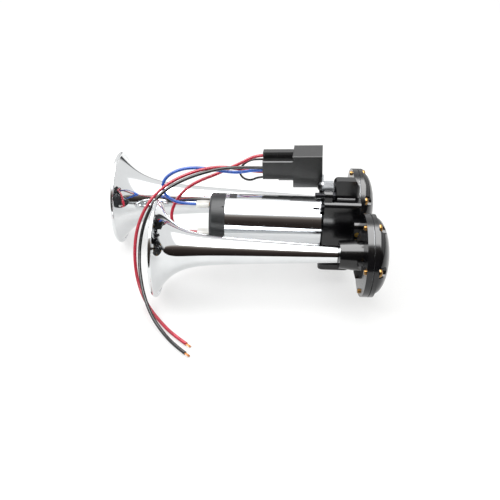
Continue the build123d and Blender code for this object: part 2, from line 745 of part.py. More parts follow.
for y, z in pump_screw_places:
    manifold -= rod(manifold_x - 1, manifold_x + pump_thread_depth + slip,
                    pump_screw_radius + thread_clearance, y, z)
save(motor * manifold, "air_manifold")

plug_length = arm_reach - (axis_spacing / 2 - inlet_across + inlet_radius + slip)
plugs = [motor * Pos(gallery_x, side * (arm_reach - plug_length / 2), gallery_rise) * Rot(90, 0, 0)
         * Cylinder(gallery_radius - thread_clearance, plug_length) for side in (-1, 1)]
save(Compound(plugs), "gallery_plugs")

pump_screws = []
for y, z in pump_screw_places:
    on_bracket = y > 0 and z > 0
    seat = pump_x + bracket_seat - bracket_thickness if on_bracket else pump_x
    pump_screws.append(motor * Pos(0, y, z) * cheese_screw(
        seat, manifold_x + pump_thread_depth, pump_screw_radius, cheese_head_radius, cheese_head_height,
        hex_socket))
save(Compound(pump_screws), "pump_screws")

at_lug = motor * Pos(0, lug_across, lug_z)
lug_bolt = cheese_screw(pump_x - lug_bolt_standoff, lug_end + lug_nut_height, lug_bolt_radius,
                        lug_bolt_head_radius, lug_bolt_head, lug_bolt_socket)
save(at_lug * lug_bolt, "lug_bolt")
lug_nut = nut(lug_end, lug_end + lug_nut_height, lug_nut_flats, lug_bolt_radius + thread_clearance)
save(at_lug * flat_outwards * lug_nut, "lug_nut")

# Air intake: a hooded box on the pump's top with a foam filter in it
side_view = Plane(origin=(0, intake_near, 0), x_dir=(1, 0, 0), z_dir=(0, -1, 0))
hood_outline = Polyline(
    (intake_x, pump_top), (intake_x, intake_top), (intake_end - intake_slope_length, intake_top),
    (intake_end, intake_top - intake_slope_height), (intake_end, pump_top), (intake_x, pump_top))
hood = extrude(side_view * make_face(hood_outline), -intake_width)
hood = fillet(hood.edges().filter_by(Axis.Y).group_by(Axis.Z)[-1].sort_by(Axis.X)[0], intake_round)
intake = hood & slab_z(intake_x, intake_end, intake_near, intake_far, pump_top, intake_top, intake_corner)
foot_start = intake_x + intake_foot_start
foot_end = foot_start + intake_foot_length
foot = block(foot_start, foot_end, intake_near - intake_foot, intake_near + intake_wall / 2,
             pump_top, pump_top + intake_foot)
intake += foot - rod(foot_start - 1, foot_end + 1, intake_foot,
                     intake_near - intake_foot, pump_top + intake_foot)
hollow_end = intake_end - intake_end_wall
hollow_top = intake_top - intake_round
intake -= block(intake_x + intake_wall, hollow_end, intake_near + intake_wall, intake_far - intake_wall,
                pump_top - 1, hollow_top)
for k in range(intake_slots):
    x = intake_x + intake_length * (k + 1) / (intake_slots + 1)
    intake -= block(x - intake_slot_width / 2, x + intake_slot_width / 2, intake_far - intake_wall - 1,
                    intake_far + 1, pump_top + intake_slot_low, pump_top + intake_slot_high)
save(motor * intake, "intake_cover")
intake_filter = block(
    intake_x + intake_wall + filter_gap, hollow_end - filter_gap, intake_near + intake_wall + filter_gap,
    intake_far - intake_wall - filter_gap, hollow_top - filter_height, hollow_top)
save(motor * intake_filter, "intake_filter")


# ---------------------------------------------------------------- relay
# Its own frame: X towards the pump, with the face that is clamped to the bracket at 0, and Y
# and Z from the near lower corner of that face.
relay_place = (motor * Pos(pump_x + relay_ahead, relay_near, relay_rise)
               * Rot(0, 0, relay_yaw) * Rot(0, relay_pitch, 0))
relay_start = -relay_length
relay_mid = relay_side / 2
base_seat = relay_start + relay_base_thickness
at_bolt = Pos(0, -relay_lug_reach, relay_lug_rise)
bolt_hole = relay_bolt_radius + screw_clearance

relay_case = block(relay_start, 0, 0, relay_side, 0, relay_side)
relay_case = fillet(relay_case.edges().filter_by(Axis.X), relay_round)
relay_case -= block(relay_start - 1, -relay_wall, relay_wall, relay_side - relay_wall,
                    relay_wall, relay_side - relay_wall)
relay_case += block(-relay_wall, 0, -relay_lug_reach, relay_round,
                    relay_lug_rise - relay_lug_radius, relay_lug_rise + relay_lug_radius)
relay_case += at_bolt * rod(-relay_wall, 0, relay_lug_radius)
relay_case -= at_bolt * rod(-relay_wall - 1, 1, bolt_hole)
save(relay_place * relay_case, "relay_case")

# contact pins: sideways and upwards from the relay's middle, and whether they lie flat
relay_blades = (
    (0, relay_pin_pitch, True), (0, 0, True), (0, -relay_pin_pitch, True),
    (relay_pin_reach, 0, False), (-relay_pin_reach, 0, False))


def blade_block(x0, x1, y, z, flat, ease):
    """Box round one contact pin, widened by ease."""
    wide = blade_width / 2 + ease
    thin = relay_pin_thickness / 2 + ease
    across, up = (wide, thin) if flat else (thin, wide)
    return block(x0, x1, relay_mid + y - across, relay_mid + y + across,
                 relay_mid + z - up, relay_mid + z + up)


base_near = relay_wall + slip
base_far = relay_side - relay_wall - slip
relay_base = block(relay_start, base_seat, base_near, base_far, base_near, base_far)
pins = []
for y, z, flat in relay_blades:
    relay_base -= blade_block(relay_start - 1, base_seat + 1, y, z, flat, thread_clearance)
    pins.append(relay_place * blade_block(relay_start - relay_pin_length, base_seat + relay_pin_hold,
                                          y, z, flat, 0))
save(relay_place * relay_base, "relay_base")
save(Compound(pins), "relay_pins")

coil_y = relay_mid + coil_across
coil_z = relay_mid - coil_across
coil_x = base_seat + yoke_thickness
yoke = block(base_seat, coil_x, coil_y - coil_radius / 3, coil_y + coil_radius - 5 * slip,
             coil_z - yoke_half_height, coil_z + yoke_half_height)
coil_core = rod(coil_x, coil_x + coil_length + core_tip, coil_core_radius, coil_y, coil_z)
save(relay_place * (coil_core + yoke), "relay_core")
coil = tube(coil_x + slip, coil_x + coil_length, coil_radius, coil_core_radius + slip, coil_y, coil_z)
save(relay_place * coil, "relay_coil")

socket_start = relay_start - socket_length
socket_low = relay_mid - socket_drop
socket_top = relay_mid + socket_lift
ridge_near = relay_mid - socket_ridge_near
ridge_far = ridge_near + socket_ridge_width
socket = block(socket_start, relay_start, socket_inset, relay_side - socket_inset, socket_low, socket_top)
socket = chamfer(socket.edges().filter_by(Axis.X), socket_edge)
socket += block(socket_start, relay_start, ridge_near, ridge_far,
                socket_top - 1, socket_top + socket_ridge_height)
socket += block(relay_start - relay_pin_length - skirt_past, relay_start,
                ridge_near - skirt_side, ridge_far + skirt_side,
                relay_mid - relay_pin_pitch - skirt_drop, socket_low + 1)
for k in range(groove_count):
    x = socket_start + socket_length * (k + 1) / (groove_count + 1)
    socket -= block(x - groove_width / 2, x + groove_width / 2, ridge_near - 1, ridge_near + groove_depth,
                    socket_top + groove_low, socket_top + groove_high)
for y, z, flat in relay_blades:
    socket -= blade_block(relay_start - relay_pin_length - pin_end_gap, relay_start + 1, y, z, flat, pin_ease)
socket = relay_place * socket

# Bracket: a foot in the base plate's recess and an arm that follows the relay's lean
foot_x = pump_x + bracket_seat - bracket_thickness
bracket_foot = block(foot_x, foot_x + bracket_thickness, bracket_near, bracket_far,
                     bracket_low, pump_top - bracket_foot_top)
bracket_foot -= rod(foot_x - 1, foot_x + bracket_thickness + 1, pump_screw_hole,
                    pump_screw_across, pump_screw_up)
arm_low = relay_lug_rise - bracket_arm_radius
bracket_arm = block(0, bracket_thickness, -relay_lug_reach, bracket_arm_far,
                    arm_low, relay_lug_rise + bracket_arm_radius)
bracket_arm += at_bolt * rod(0, bracket_thickness, bracket_arm_radius)
bracket_arm += block(0, bracket_thickness, -bracket_arm_near, bracket_arm_far, -bracket_arm_root, arm_low + 1)
bracket_arm -= at_bolt * rod(-1, bracket_thickness + 1, bolt_hole)
save(motor * bracket_foot + relay_place * bracket_arm, "relay_bracket")

nuts_end = bracket_thickness + 2 * relay_nut_height
bolt_head = Rot(0, 0, 180) * domed(0, relay_bolt_head_radius, relay_bolt_head_height, pan_head_edge / 2)
relay_screw = Pos(-relay_wall, 0, 0) * bolt_head
relay_screw += rod(-relay_wall, nuts_end + relay_bolt_tail, relay_bolt_radius)
relay_screw -= hexagon(-relay_wall - relay_bolt_head_height - 1,
                       -relay_wall - relay_bolt_head_height * (1 - socket_share), hex_socket)
save(relay_place * at_bolt * relay_screw, "relay_screw")
relay_nut = nut(0, relay_nut_height, relay_nut_flats, relay_bolt_radius + thread_clearance)
save(Compound([relay_place * at_bolt * Pos(bracket_thickness + k * relay_nut_height, 0, 0) * relay_nut
               for k in range(2)]), "relay_nuts")


# ---------------------------------------------------------------- wires
blade_tip = end_cap_x - blade_length
sleeve_end = end_cap_x - sleeve_start
sleeve_x = sleeve_end - sleeve_length
receptacle_x = sleeve_x + sleeve_end_wall
socket_end_x = pump_x + relay_ahead + socket_start
wire_start = socket_end_x + wire_hole_depth
upper_terminal = (receptacle_x, motor_y, motor_z + terminal_rise)
lower_terminal = (receptacle_x, motor_y, motor_z - terminal_rise)

# Routes from the relay's socket outwards; the supply pair runs out over the bells to the
# surface that the horn stands on, and the others come back to the motor or the socket.
floor_rest = wire_radius + wire_rest_gap
supply_black_route = [
    (wire_start, 19.2, 82.4), (8.0, 19.2, 82.4), (-6.0, 15.9, 83.4), (-18.5, 11.5, 84.0),
    (-32.0, 6.0, 82.5), (-44.5, 0.0, 80.0), (-56.0, -6.0, 76.0), (-66.0, -12.5, 70.5),
    (-73.5, -19.5, 61.0), (-78.5, -28.0, 48.0), (-80.0, -38.5, 34.0), (-78.0, -51.5, 22.0),
    (-72.5, -67.5, 10.5), (-63.5, -85.5, 4.5), (-53.0, -100.0, floor_rest),
    (-43.0, -113.0, floor_rest), (-34.5, -121.0, floor_rest)]
supply_red_route = [
    (wire_start, 25.5, 76.3), (8.5, 25.5, 76.3), (-6.0, 23.2, 79.0), (-19.0, 17.5, 83.0),
    (-33.0, 9.5, 84.0), (-47.0, 2.5, 81.5), (-59.5, -4.5, 77.0), (-70.0, -11.5, 70.0),
    (-77.5, -19.0, 60.5), (-83.0, -27.5, 47.5), (-84.0, -37.5, 33.5), (-82.0, -47.5, 19.5),
    (-77.0, -57.5, 8.5), (-69.0, -70.5, 3.0), (-57.5, -86.5, floor_rest),
    (-46.0, -101.0, floor_rest), (-35.0, -111.0, floor_rest)]
motor_blue_route = [
    (wire_start, 21.6, 79.4), (8.0, 21.6, 79.4), (-5.0, 19.0, 77.5), (-16.0, 18.0, 78.5),
    (-28.0, 16.0, 81.0), (-39.0, 14.0, 83.0), (-50.5, 12.0, 82.5), (-59.5, 9.5, 79.5),
    (-65.5, 7.0, 74.5), (-67.0, 4.5, 68.0), (-63.0, 2.0, 61.5), (-55.5, 0.0, 58.5),
    (-47.5, motor_y, upper_terminal[2]), upper_terminal]
motor_red_route = [
    (wire_start, 27.6, 90.0), (9.0, 27.6, 90.0), (-4.0, 26.3, 83.0), (-14.0, 26.0, 78.0),
    (-24.5, 23.5, 73.5), (-36.0, 18.5, 70.5), (-45.5, 13.0, 67.0), (-53.5, 8.5, 60.5),
    (-58.5, 5.0, 52.5), (-60.5, 2.0, 44.0), (-58.5, 0.0, 36.5), (-52.5, -1.2, 32.2),
    (-45.0, motor_y, lower_terminal[2]), lower_terminal]
jumper_route = [
    (wire_start, 31.0, 85.2), (8.5, 31.0, 85.2), (2.0, 31.4, 83.2), (-3.2, 30.5, 79.2),
    (-5.3, 28.3, 73.8), (-2.2, 25.2, 70.0), (4.4, 21.5, 69.6), (11.5, 19.0, 74.4),
    (wire_start, 19.0, 74.4)]


def corner_radii(points):
    """Radius at each inner point: tangent arcs that use 0.45 of the shorter run beside it."""
    radii = []
    for before, here, after in zip(points, points[1:], points[2:]):
        run_in = Vector(*here) - Vector(*before)
        run_out = Vector(*after) - Vector(*here)
        half_turn = math.radians(run_in.get_angle(run_out)) / 2
        radii.append(0.45 * min(run_in.length, run_out.length) / math.tan(half_turn))
    return radii


def wire(points, radius, node):
    """Round wire swept along straight runs joined by tangent arcs."""
    radii = corner_radii(points)
    path = FilletPolyline(*points, radius=radii)
    section = Plane(origin=path @ 0, z_dir=path % 0) * Circle(radius)
    solid = sweep(section, path=path)
    expected = math.pi * radius ** 2 * path.length
    print(f"{node}: length {path.length:.1f}, smallest radius {min(radii):.1f}, "
          f"volume {solid.volume:.1f} of {expected:.1f}")
    save(solid, node)
    return path


wires = (
    ("wire_supply_black", supply_black_route, wire_radius),
    ("wire_supply_red", supply_red_route, wire_radius),
    ("wire_motor_blue", motor_blue_route, wire_radius),
    ("wire_motor_red", motor_red_route, wire_radius),
    ("wire_jumper", jumper_route, jumper_radius),
)
for node, route, radius in wires:
    path = wire(route, radius, node)
    if "supply" in node:
        tip = Plane(origin=path @ 1, z_dir=path % 1)
        save(extrude(tip * Circle(copper_radius), copper_length), node.replace("wire", "copper"))
    for end in (route[0], route[-1]):
        if end[0] == wire_start:
            socket -= rod(wire_start - 3 * wire_hole_depth, wire_start, radius + wire_hole_clearance,
                          end[1], end[2])
save(socket, "relay_socket")

# Push-on terminals at the motor: a brass receptacle in a nylon sleeve on each blade
for name, rise in (("blue", terminal_rise), ("red", -terminal_rise)):
    low = rise - sleeve_height / 2
    high = rise + sleeve_height / 2
    half = sleeve_width / 2 - sleeve_wall
    receptacle = block(receptacle_x, receptacle_x + receptacle_length, slip - half, half - slip,
                       low + sleeve_wall + slip, high - sleeve_wall - slip)
    receptacle -= block(blade_tip - pin_end_gap, sleeve_end + 1, -blade_width / 2 - thread_clearance,
                        blade_width / 2 + thread_clearance, rise - blade_thickness / 2 - thread_clearance,
                        rise + blade_thickness / 2 + thread_clearance)
    save(motor * receptacle, f"receptacle_{name}")
    sleeve = slab_x(sleeve_x, sleeve_end, -sleeve_width / 2, sleeve_width / 2, low, high, sleeve_corner)
    sleeve -= block(receptacle_x, sleeve_end + 1, -half, half, low + sleeve_wall, high - sleeve_wall)
    sleeve -= rod(sleeve_x - 1, receptacle_x + 1, wire_radius + wire_hole_clearance, 0, rise)
    save(motor * sleeve, f"sleeve_{name}")
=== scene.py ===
# %% [markdown]
# # An electric air horn, finished in Blender
# The horn's solid pieces come from CAD as a fixed frame: two trumpets, their drivers, the motor and
# pump between them, the relay and the hidden pieces inside. Blender never moves or reshapes those.
# This lesson gives every surface its finish and adds what CAD leaves out: the smooth line of the
# wires, the strands of their bare ends, the threads of the screws and the latch of the motor's cap.
# The first cell loads the frame.

# %% Load the frame
import bmesh
import bpy
import math
from mathutils import Matrix, Vector


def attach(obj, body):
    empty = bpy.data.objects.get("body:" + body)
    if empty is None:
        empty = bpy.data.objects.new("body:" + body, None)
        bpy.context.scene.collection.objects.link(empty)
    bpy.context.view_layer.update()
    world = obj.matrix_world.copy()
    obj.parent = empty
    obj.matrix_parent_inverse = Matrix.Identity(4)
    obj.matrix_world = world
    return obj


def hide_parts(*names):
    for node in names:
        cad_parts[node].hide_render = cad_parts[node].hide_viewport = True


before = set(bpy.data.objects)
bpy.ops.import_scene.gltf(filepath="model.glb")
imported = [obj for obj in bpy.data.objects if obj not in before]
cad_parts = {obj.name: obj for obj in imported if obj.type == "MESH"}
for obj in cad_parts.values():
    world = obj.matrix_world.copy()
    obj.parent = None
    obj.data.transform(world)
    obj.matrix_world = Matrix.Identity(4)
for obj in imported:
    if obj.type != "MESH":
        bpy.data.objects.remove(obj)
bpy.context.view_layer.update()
horn_body = "horn"

# %% [markdown]
# ## Helpers
# Colours are written as the hex codes that a paint chart or a picture editor shows. Those are sRGB,
# and a shader works in linear light, so one function turns them over. A second function adds a node
# of any kind with its settings and its links, for materials and Geometry Nodes alike. Where an
# input is given a node instead of a number, the node's first output is linked to it. All patterns
# are stated by their real size in millimetres, which a third function turns to a texture's scale.
# Two kinds of node have sockets that share a name, so those are picked by their place on the node.

# %% Colour, node and scale helpers
def linear(hex_code):
    """sRGB hex colour as linear RGBA."""
    channels = [int(hex_code[k:k + 2], 16) / 255 for k in (1, 3, 5)]
    return tuple(c / 12.92 if c <= 0.04045 else ((c + 0.055) / 1.055) ** 2.4 for c in channels) + (1.0,)


def add(tree, kind, settings=None, inputs=None):
    """Add a node; an input given a socket or a node is linked, and any other input is set."""
    node = tree.nodes.new(kind)
    for name, value in (settings or {}).items():
        setattr(node, name, value)
    for key, value in (inputs or {}).items():
        if isinstance(value, bpy.types.Node):
            value = value.outputs[0]
        if isinstance(value, bpy.types.NodeSocket):
            tree.links.new(value, node.inputs[key])
        else:
            node.inputs[key].default_value = value
    return node


def per_mm(size_mm):
    """Texture scale, in repeats per metre, of a pattern whose grains measure size_mm."""
    return 1000.0 / size_mm


colour_a, colour_b, mixed_colour = 6, 7, 2          # on a colour mix
least_number, most_number, drawn_number = 2, 3, 1   # on a random value
print("sRGB #808080 is", [round(c, 3) for c in linear("#808080")])

# %% [markdown]
# ## Camera
# The horn is seen from its near side and from above, almost square on. The position and the three
# angles below are the real ones of the lens, in the horn's own frame. The camera's axes are built
# from them directly: forward from the azimuth and elevation, right and up from forward, and then a
# small roll.

# %% Camera
lens_mm, nearest_seen = 44.08, 0.01
camera_place = Vector((0.018115, -0.44923, 0.27712))
azimuth, elevation, roll = (math.radians(a) for a in (1.58, 30.25, 1.10))

forward = Vector((-math.sin(azimuth) * math.cos(elevation), math.cos(azimuth) * math.cos(elevation),
                  -math.sin(elevation)))
right = Vector((math.cos(azimuth), math.sin(azimuth), 0))
up = right.cross(forward)
rolled_right = right * math.cos(roll) + up * math.sin(roll)
rolled_up = up * math.cos(roll) - right * math.sin(roll)

camera_data = bpy.data.cameras.new("camera")
camera_data.lens = lens_mm
camera_data.clip_start = nearest_seen
camera = bpy.data.objects.new("camera", camera_data)
bpy.context.scene.collection.objects.link(camera)
camera.matrix_world = Matrix((
    (rolled_right.x, rolled_up.x, -forward.x, camera_place.x),
    (rolled_right.y, rolled_up.y, -forward.y, camera_place.y),
    (rolled_right.z, rolled_up.z, -forward.z, camera_place.z),
    (0, 0, 0, 1)))
bpy.context.scene.camera = camera
print("camera at", [round(v, 3) for v in camera.location], "lens", lens_mm, "mm")

# %% [markdown]
# ## Materials: what all finishes share
# No real surface is one flat colour with one even gloss. The colour wanders a little in patches, and
# the gloss and the relief follow a finer grain. So every finish here is one Principled shader with
# two noises, and what differs is the colours, the patterns' real sizes in millimetres, how deep the
# relief is and how far the roughness wanders. A number that is the same all over, such as the index
# of refraction, is set on the shader's own socket.

# %% Shared material skeleton
noise_low, noise_high = 0.3, 0.7    # fractal noise seldom leaves this range
octave_weight = 0.55                # how much of each octave the next finer one keeps


def empty_material(name):
    """Material with nothing in its node tree; returns the material and the tree."""
    material = bpy.data.materials.new(name)
    material.use_nodes = True
    material.node_tree.nodes.clear()
    return material, material.node_tree


def finish(name, colours, roughness, patch_mm, grain_mm, depth_mm, shader_values,
           octaves=(3.0, 3.0), stretch=(1, 1, 1), wave_depth_mm=None):
    """Finish whose colour follows patches, and whose roughness and relief follow a finer grain."""
    material, tree = empty_material(name)
    point = add(tree, "ShaderNodeTexCoord").outputs["Object"]
    place = add(tree, "ShaderNodeMapping", inputs={"Vector": point, "Scale": stretch})
    patches, grain = (
        add(tree, "ShaderNodeTexNoise", inputs={
            "Vector": place, "Scale": per_mm(blob_mm), "Detail": detail, "Roughness": octave_weight})
        for blob_mm, detail in zip((patch_mm, grain_mm), octaves))
    patch_share = add(tree, "ShaderNodeMapRange", inputs={
        "Value": patches, "From Min": noise_low, "From Max": noise_high})
    colour = add(tree, "ShaderNodeMix", {"data_type": "RGBA"}, {
        "Factor": patch_share, colour_a: linear(colours[0]), colour_b: linear(colours[1])})
    gloss = add(tree, "ShaderNodeMapRange", inputs={
        "Value": grain, "From Min": noise_low, "From Max": noise_high,
        "To Min": roughness[0], "To Max": roughness[1]})
    relief = add(tree, "ShaderNodeBump", inputs={"Height": grain, "Distance": depth_mm / 1000})
    if wave_depth_mm:
        waves = add(tree, "ShaderNodeBump", inputs={"Height": patches, "Distance": wave_depth_mm / 1000})
        tree.links.new(waves.outputs["Normal"], relief.inputs["Normal"])
    shader = add(tree, "ShaderNodeBsdfPrincipled", inputs={
        "Base Color": colour.outputs[mixed_colour], "Roughness": gloss, "Normal": relief,
        **shader_values})
    add(tree, "ShaderNodeOutputMaterial", inputs={"Surface": shader})
    return material


print("material skeleton ready")

# %% [markdown]
# ## Metals
# Chrome plate on a polished bell is a mirror: nearly no roughness, and what the eye reads is the
# room. A real plated tube isn't optically flat, so a bump of a few micrometres, over a centimetre
# long, bends the reflections a little. Zinc plating is duller. Yellow passivation on the screws is
# a thin film whose hue wanders between straw and olive, so its colour follows a noise.

# %% Metal finishes
def metal(name, dark, light, patch_mm, roughness, grain_mm, depth_mm, stretch=(1, 1, 1)):
    """Bare or plated metal, with the shader's own index of refraction."""
    return finish(name, (dark, light), roughness, patch_mm, grain_mm, depth_mm, {"Metallic": 1.0},
                  stretch=stretch)


# plated after polishing: a mirror with long soft waves and a trace of haze from handling
chrome_plate = metal("chrome_plate", "#DDDFE0", "#E6E8E9", 22, (0.02, 0.06), 14, 0.004)
# rolled tube, plated over its drawing lines, which run along the tube and fray the reflections
plated_can = metal("plated_motor_can", "#D4D6D8", "#DEE0E2", 9, (0.05, 0.11), 0.9, 0.0012, (0.05, 1, 1))
# barrel-plated screws and nuts: straw to olive from one to the next, gold where they catch light
yellow_zinc = metal("yellow_passivated_zinc", "#77572E", "#A58350", 1.6, (0.22, 0.36), 0.35, 0.006)
# plated strip: pale, a little blue, with a satin crystal grain
bright_zinc = metal("bright_zinc_plate", "#A9ADB1", "#C6C9CC", 1.8, (0.24, 0.38), 0.3, 0.006)
# blackened in hot salts and oiled: near black, with a dull sheen on the edges
black_oxide = metal("black_oxide_steel", "#141415", "#262628", 1.2, (0.30, 0.46), 0.25, 0.008)
# ground between centres: fine rings round the shaft
bare_steel = metal("ground_steel", "#8E9094", "#A6A8AB", 2.5, (0.22, 0.34), 0.2, 0.004, (1, 0.1, 1))
# drawn wire, freshly cut: salmon pink, with brighter ridges
bare_copper = metal("bare_copper", "#C4814F", "#E0A673", 1.5, (0.22, 0.34), 0.25, 0.004)
# stamped from strip: warm yellow, with soft handling marks
bare_brass = metal("stamped_brass", "#B8923F", "#D8B767", 2.2, (0.24, 0.36), 0.3, 0.004)
# pressed powder full of oil: brown, speckled with its pores
sintered_bronze = metal("sintered_bronze", "#7E5A34", "#A07A4C", 0.5, (0.40, 0.58), 0.2, 0.012)
# pressed and fired powder: dark grey, dull, with a stony grain
pressed_ferrite = metal("pressed_ferrite", "#242426", "#38383B", 1.0, (0.52, 0.68), 0.3, 0.015)
# turned on a lathe: light grey, with fine tool rings
machined_aluminium = metal("machined_aluminium", "#B9BCBF", "#CFD1D3", 3.0, (0.22, 0.34), 0.2, 0.003,
                           (1, 0.1, 1))
print("metals", len(bpy.data.materials))

# %% [markdown]
# ## Plastics, rubber and foam
# The drivers and pump are injection-moulded ABS with a bright tool finish: black, glossy, and a
# little wavy where the wall shrank. The relay is glass-filled nylon from an eroded tool, which
# leaves a fine grain that breaks the highlight. The wires' PVC is glossy and slightly soft. The
# IOR values are those of the plastics themselves.

# %% Plastic finishes
def plastic(name, dark, light, ior, roughness, grain_mm, depth_mm, waves_mm=9.0, wave_depth_mm=0.006,
            shine=0.5):
    """Moulded plastic: shrink waves under a fine grain; a shine under 0.5 dulls a filled surface."""
    return finish(name, (dark, light), roughness, waves_mm, grain_mm, depth_mm,
                  {"IOR": ior, "Specular IOR Level": shine}, (1.0, 4.0), wave_depth_mm=wave_depth_mm)


# moulded in a polished tool: wet-looking black with clean highlights
black_abs = plastic("glossy_black_abs", "#08080A", "#0E0E10", 1.54, (0.12, 0.20), 0.8, 0.003)
# moulded in an eroded tool: charcoal, satin, with an even fine grain
black_nylon = plastic("glass_filled_black_nylon", "#0F1010", "#171818", 1.53, (0.26, 0.36), 0.35, 0.006)
# filled resin: dark grey, nearly without a highlight
grey_phenolic = plastic("matt_grey_phenolic", "#1E1F20", "#292A2B", 1.58, (0.34, 0.42), 0.4, 0.008,
                        shine=0.25)
# moulded without pigment: milky white
clear_nylon = plastic("natural_nylon", "#DEDDD6", "#F0EFEA", 1.53, (0.30, 0.42), 0.5, 0.005)
# pressed carbon: dark, with the grey gleam of pencil lead
graphite = plastic("pressed_graphite", "#1D1D1F", "#2C2C2F", 1.80, (0.35, 0.50), 0.25, 0.010)
# cured in a mould: soft black that swallows the light
gasket_rubber = plastic("moulded_rubber", "#101011", "#1A1A1B", 1.52, (0.60, 0.75), 0.3, 0.010)
# foamed and sliced: black and full of open cells
filter_foam = plastic("open_cell_foam", "#0C0C0D", "#1E1E20", 1.50, (0.85, 0.95), 0.9, 0.35)
# extruded over the wire: strong colour under a soft gloss, with slow waves from the die
pvc_red = plastic("red_pvc", "#A3102B", "#BC1735", 1.53, (0.24, 0.36), 0.6, 0.006, 6.0, 0.02)
pvc_black = plastic("black_pvc", "#070708", "#0E0E0F", 1.50, (0.18, 0.26), 0.6, 0.004, 6.0, 0.02)
pvc_blue = plastic("blue_pvc", "#15479E", "#1E57B4", 1.53, (0.24, 0.36), 0.6, 0.006, 6.0, 0.02)
print("materials so far", len(bpy.data.materials))

# %% [markdown]
# ## Dressing the CAD nodes
# A CAD node keeps its mesh and only changes what fills its material slots. One table says which
# finish each node takes. A node that is missing from the table stops the script.

# %% Finishes by node
finishes = {
    plated_can: ["motor_can"],
    black_abs: ["driver_base_long", "driver_base_short", "driver_cap_long", "driver_cap_short",
                "pump_base", "pump_body", "air_manifold", "intake_cover"],
    black_nylon: ["relay_case", "relay_base", "relay_socket"],
    grey_phenolic: ["motor_end_cap"],
    yellow_zinc: ["driver_screws_long", "driver_screws_short", "driver_nuts_long", "driver_nuts_short"],
    bright_zinc: ["relay_bracket", "relay_nuts", "motor_screws"],
    black_oxide: ["lug_bolt", "lug_nut", "relay_screw", "pump_screws"],
    bare_steel: ["motor_shaft", "diaphragm_long", "diaphragm_short", "armature_core", "relay_core"],
    bare_copper: ["armature_windings", "relay_coil", "commutator"],
    bare_brass: ["mount_insert", "gallery_plugs", "receptacle_blue", "receptacle_red",
                 "brush_terminal_upper", "brush_terminal_lower", "relay_pins"],
    sintered_bronze: ["bush_drive", "bush_end_cap"],
    pressed_ferrite: ["motor_magnets"],
    graphite: ["motor_brushes", "pump_vanes"],
    machined_aluminium: ["pump_rotor"],
    gasket_rubber: ["gasket_long", "gasket_short"],
    filter_foam: ["intake_filter"],
    clear_nylon: ["sleeve_blue", "sleeve_red"],
}
replaced_nodes = ["trumpet_long", "trumpet_short", "copper_supply_black", "copper_supply_red",
                  "wire_supply_black", "wire_supply_red", "wire_motor_blue", "wire_motor_red",
                  "wire_jumper"]
dressed = set(replaced_nodes)
for material, names in finishes.items():
    for name in names:
        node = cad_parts[name]
        node.data.materials.clear()
        node.data.materials.append(material)
        dressed.add(name)
assert dressed == set(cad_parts), sorted(set(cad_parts) ^ dressed)
print("dressed", len(dressed) - len(replaced_nodes), "nodes,", len(replaced_nodes), "to be replaced")

# %% [markdown]
# ## A Geometry Nodes workshop
# What repeats or follows a rule is made by Geometry Nodes: the trumpets, the strands of the bare
# wire ends and the threads on the screws. Every tree gets its sizes through named inputs, so it can
# be opened and changed like a recipe. Two helpers serve all trees. One opens a tree with its
# inputs. The other runs a tree on an object, reads the finished mesh and hands back a plain object,
# because an exported piece must not depend on a live modifier.

# %% Tree and baking helpers
def new_tree(name, inputs):
    """Geometry Nodes tree with named inputs; returns the tree, its input node and its output node."""
    tree = bpy.data.node_groups.new(name, "GeometryNodeTree")
    tree.interface.new_socket("Geometry", in_out="INPUT", socket_type="NodeSocketGeometry")
    for label, kind in inputs:
        tree.interface.new_socket(label, in_out="INPUT", socket_type="NodeSocket" + kind)
    tree.interface.new_socket("Geometry", in_out="OUTPUT", socket_type="NodeSocketGeometry")
    return tree, add(tree, "NodeGroupInput"), add(tree, "NodeGroupOutput")


def grown(name, tree, values, seed_points=()):
    """Run a tree on seed points, and return its result as a plain mesh object at the origin."""
    seed = bpy.data.meshes.new(name + "_seed")
    seed.from_pydata(seed_points, [], [])
    maker = bpy.data.objects.new(name + "_maker", seed)
    bpy.context.scene.collection.objects.link(maker)
    modifier = maker.modifiers.new("grow", "NODES")
    modifier.node_group = tree
    for item in tree.interface.items_tree:
        if item.in_out == "INPUT" and item.name in values:
            modifier[item.identifier] = values[item.name]
    depsgraph = bpy.context.evaluated_depsgraph_get()
    mesh = bpy.data.meshes.new_from_object(maker.evaluated_get(depsgraph))
    bpy.data.objects.remove(maker)
    mesh.name = name
    mesh.materials.clear()      # drops the empty slot that a joined mesh brings along
    mesh.materials.append(values["Finish"])
    mesh.polygons.foreach_set("material_index", [0] * len(mesh.polygons))
    piece = bpy.data.objects.new(name, mesh)
    bpy.context.scene.collection.objects.link(piece)
    print(name, len(mesh.polygons), "faces,", mesh.materials[0].name)
    return piece


# %% [markdown]
# ## The trumpets
# A horn's bell is spun or moulded to a rule: the tube widens slowly in a straight cone, and near the
# mouth it adds a flare that grows by the same factor over every step of length. The mouth is
# finished with a rolled bead. Lathing a drawn profile would also work, but the rule itself is two
# numbers, the taper and the flare's length, so the tree states it. A flat grid is bent into the
# shell: one way round the axis, the other way along the outside wall to the mouth and back along
# the inside.

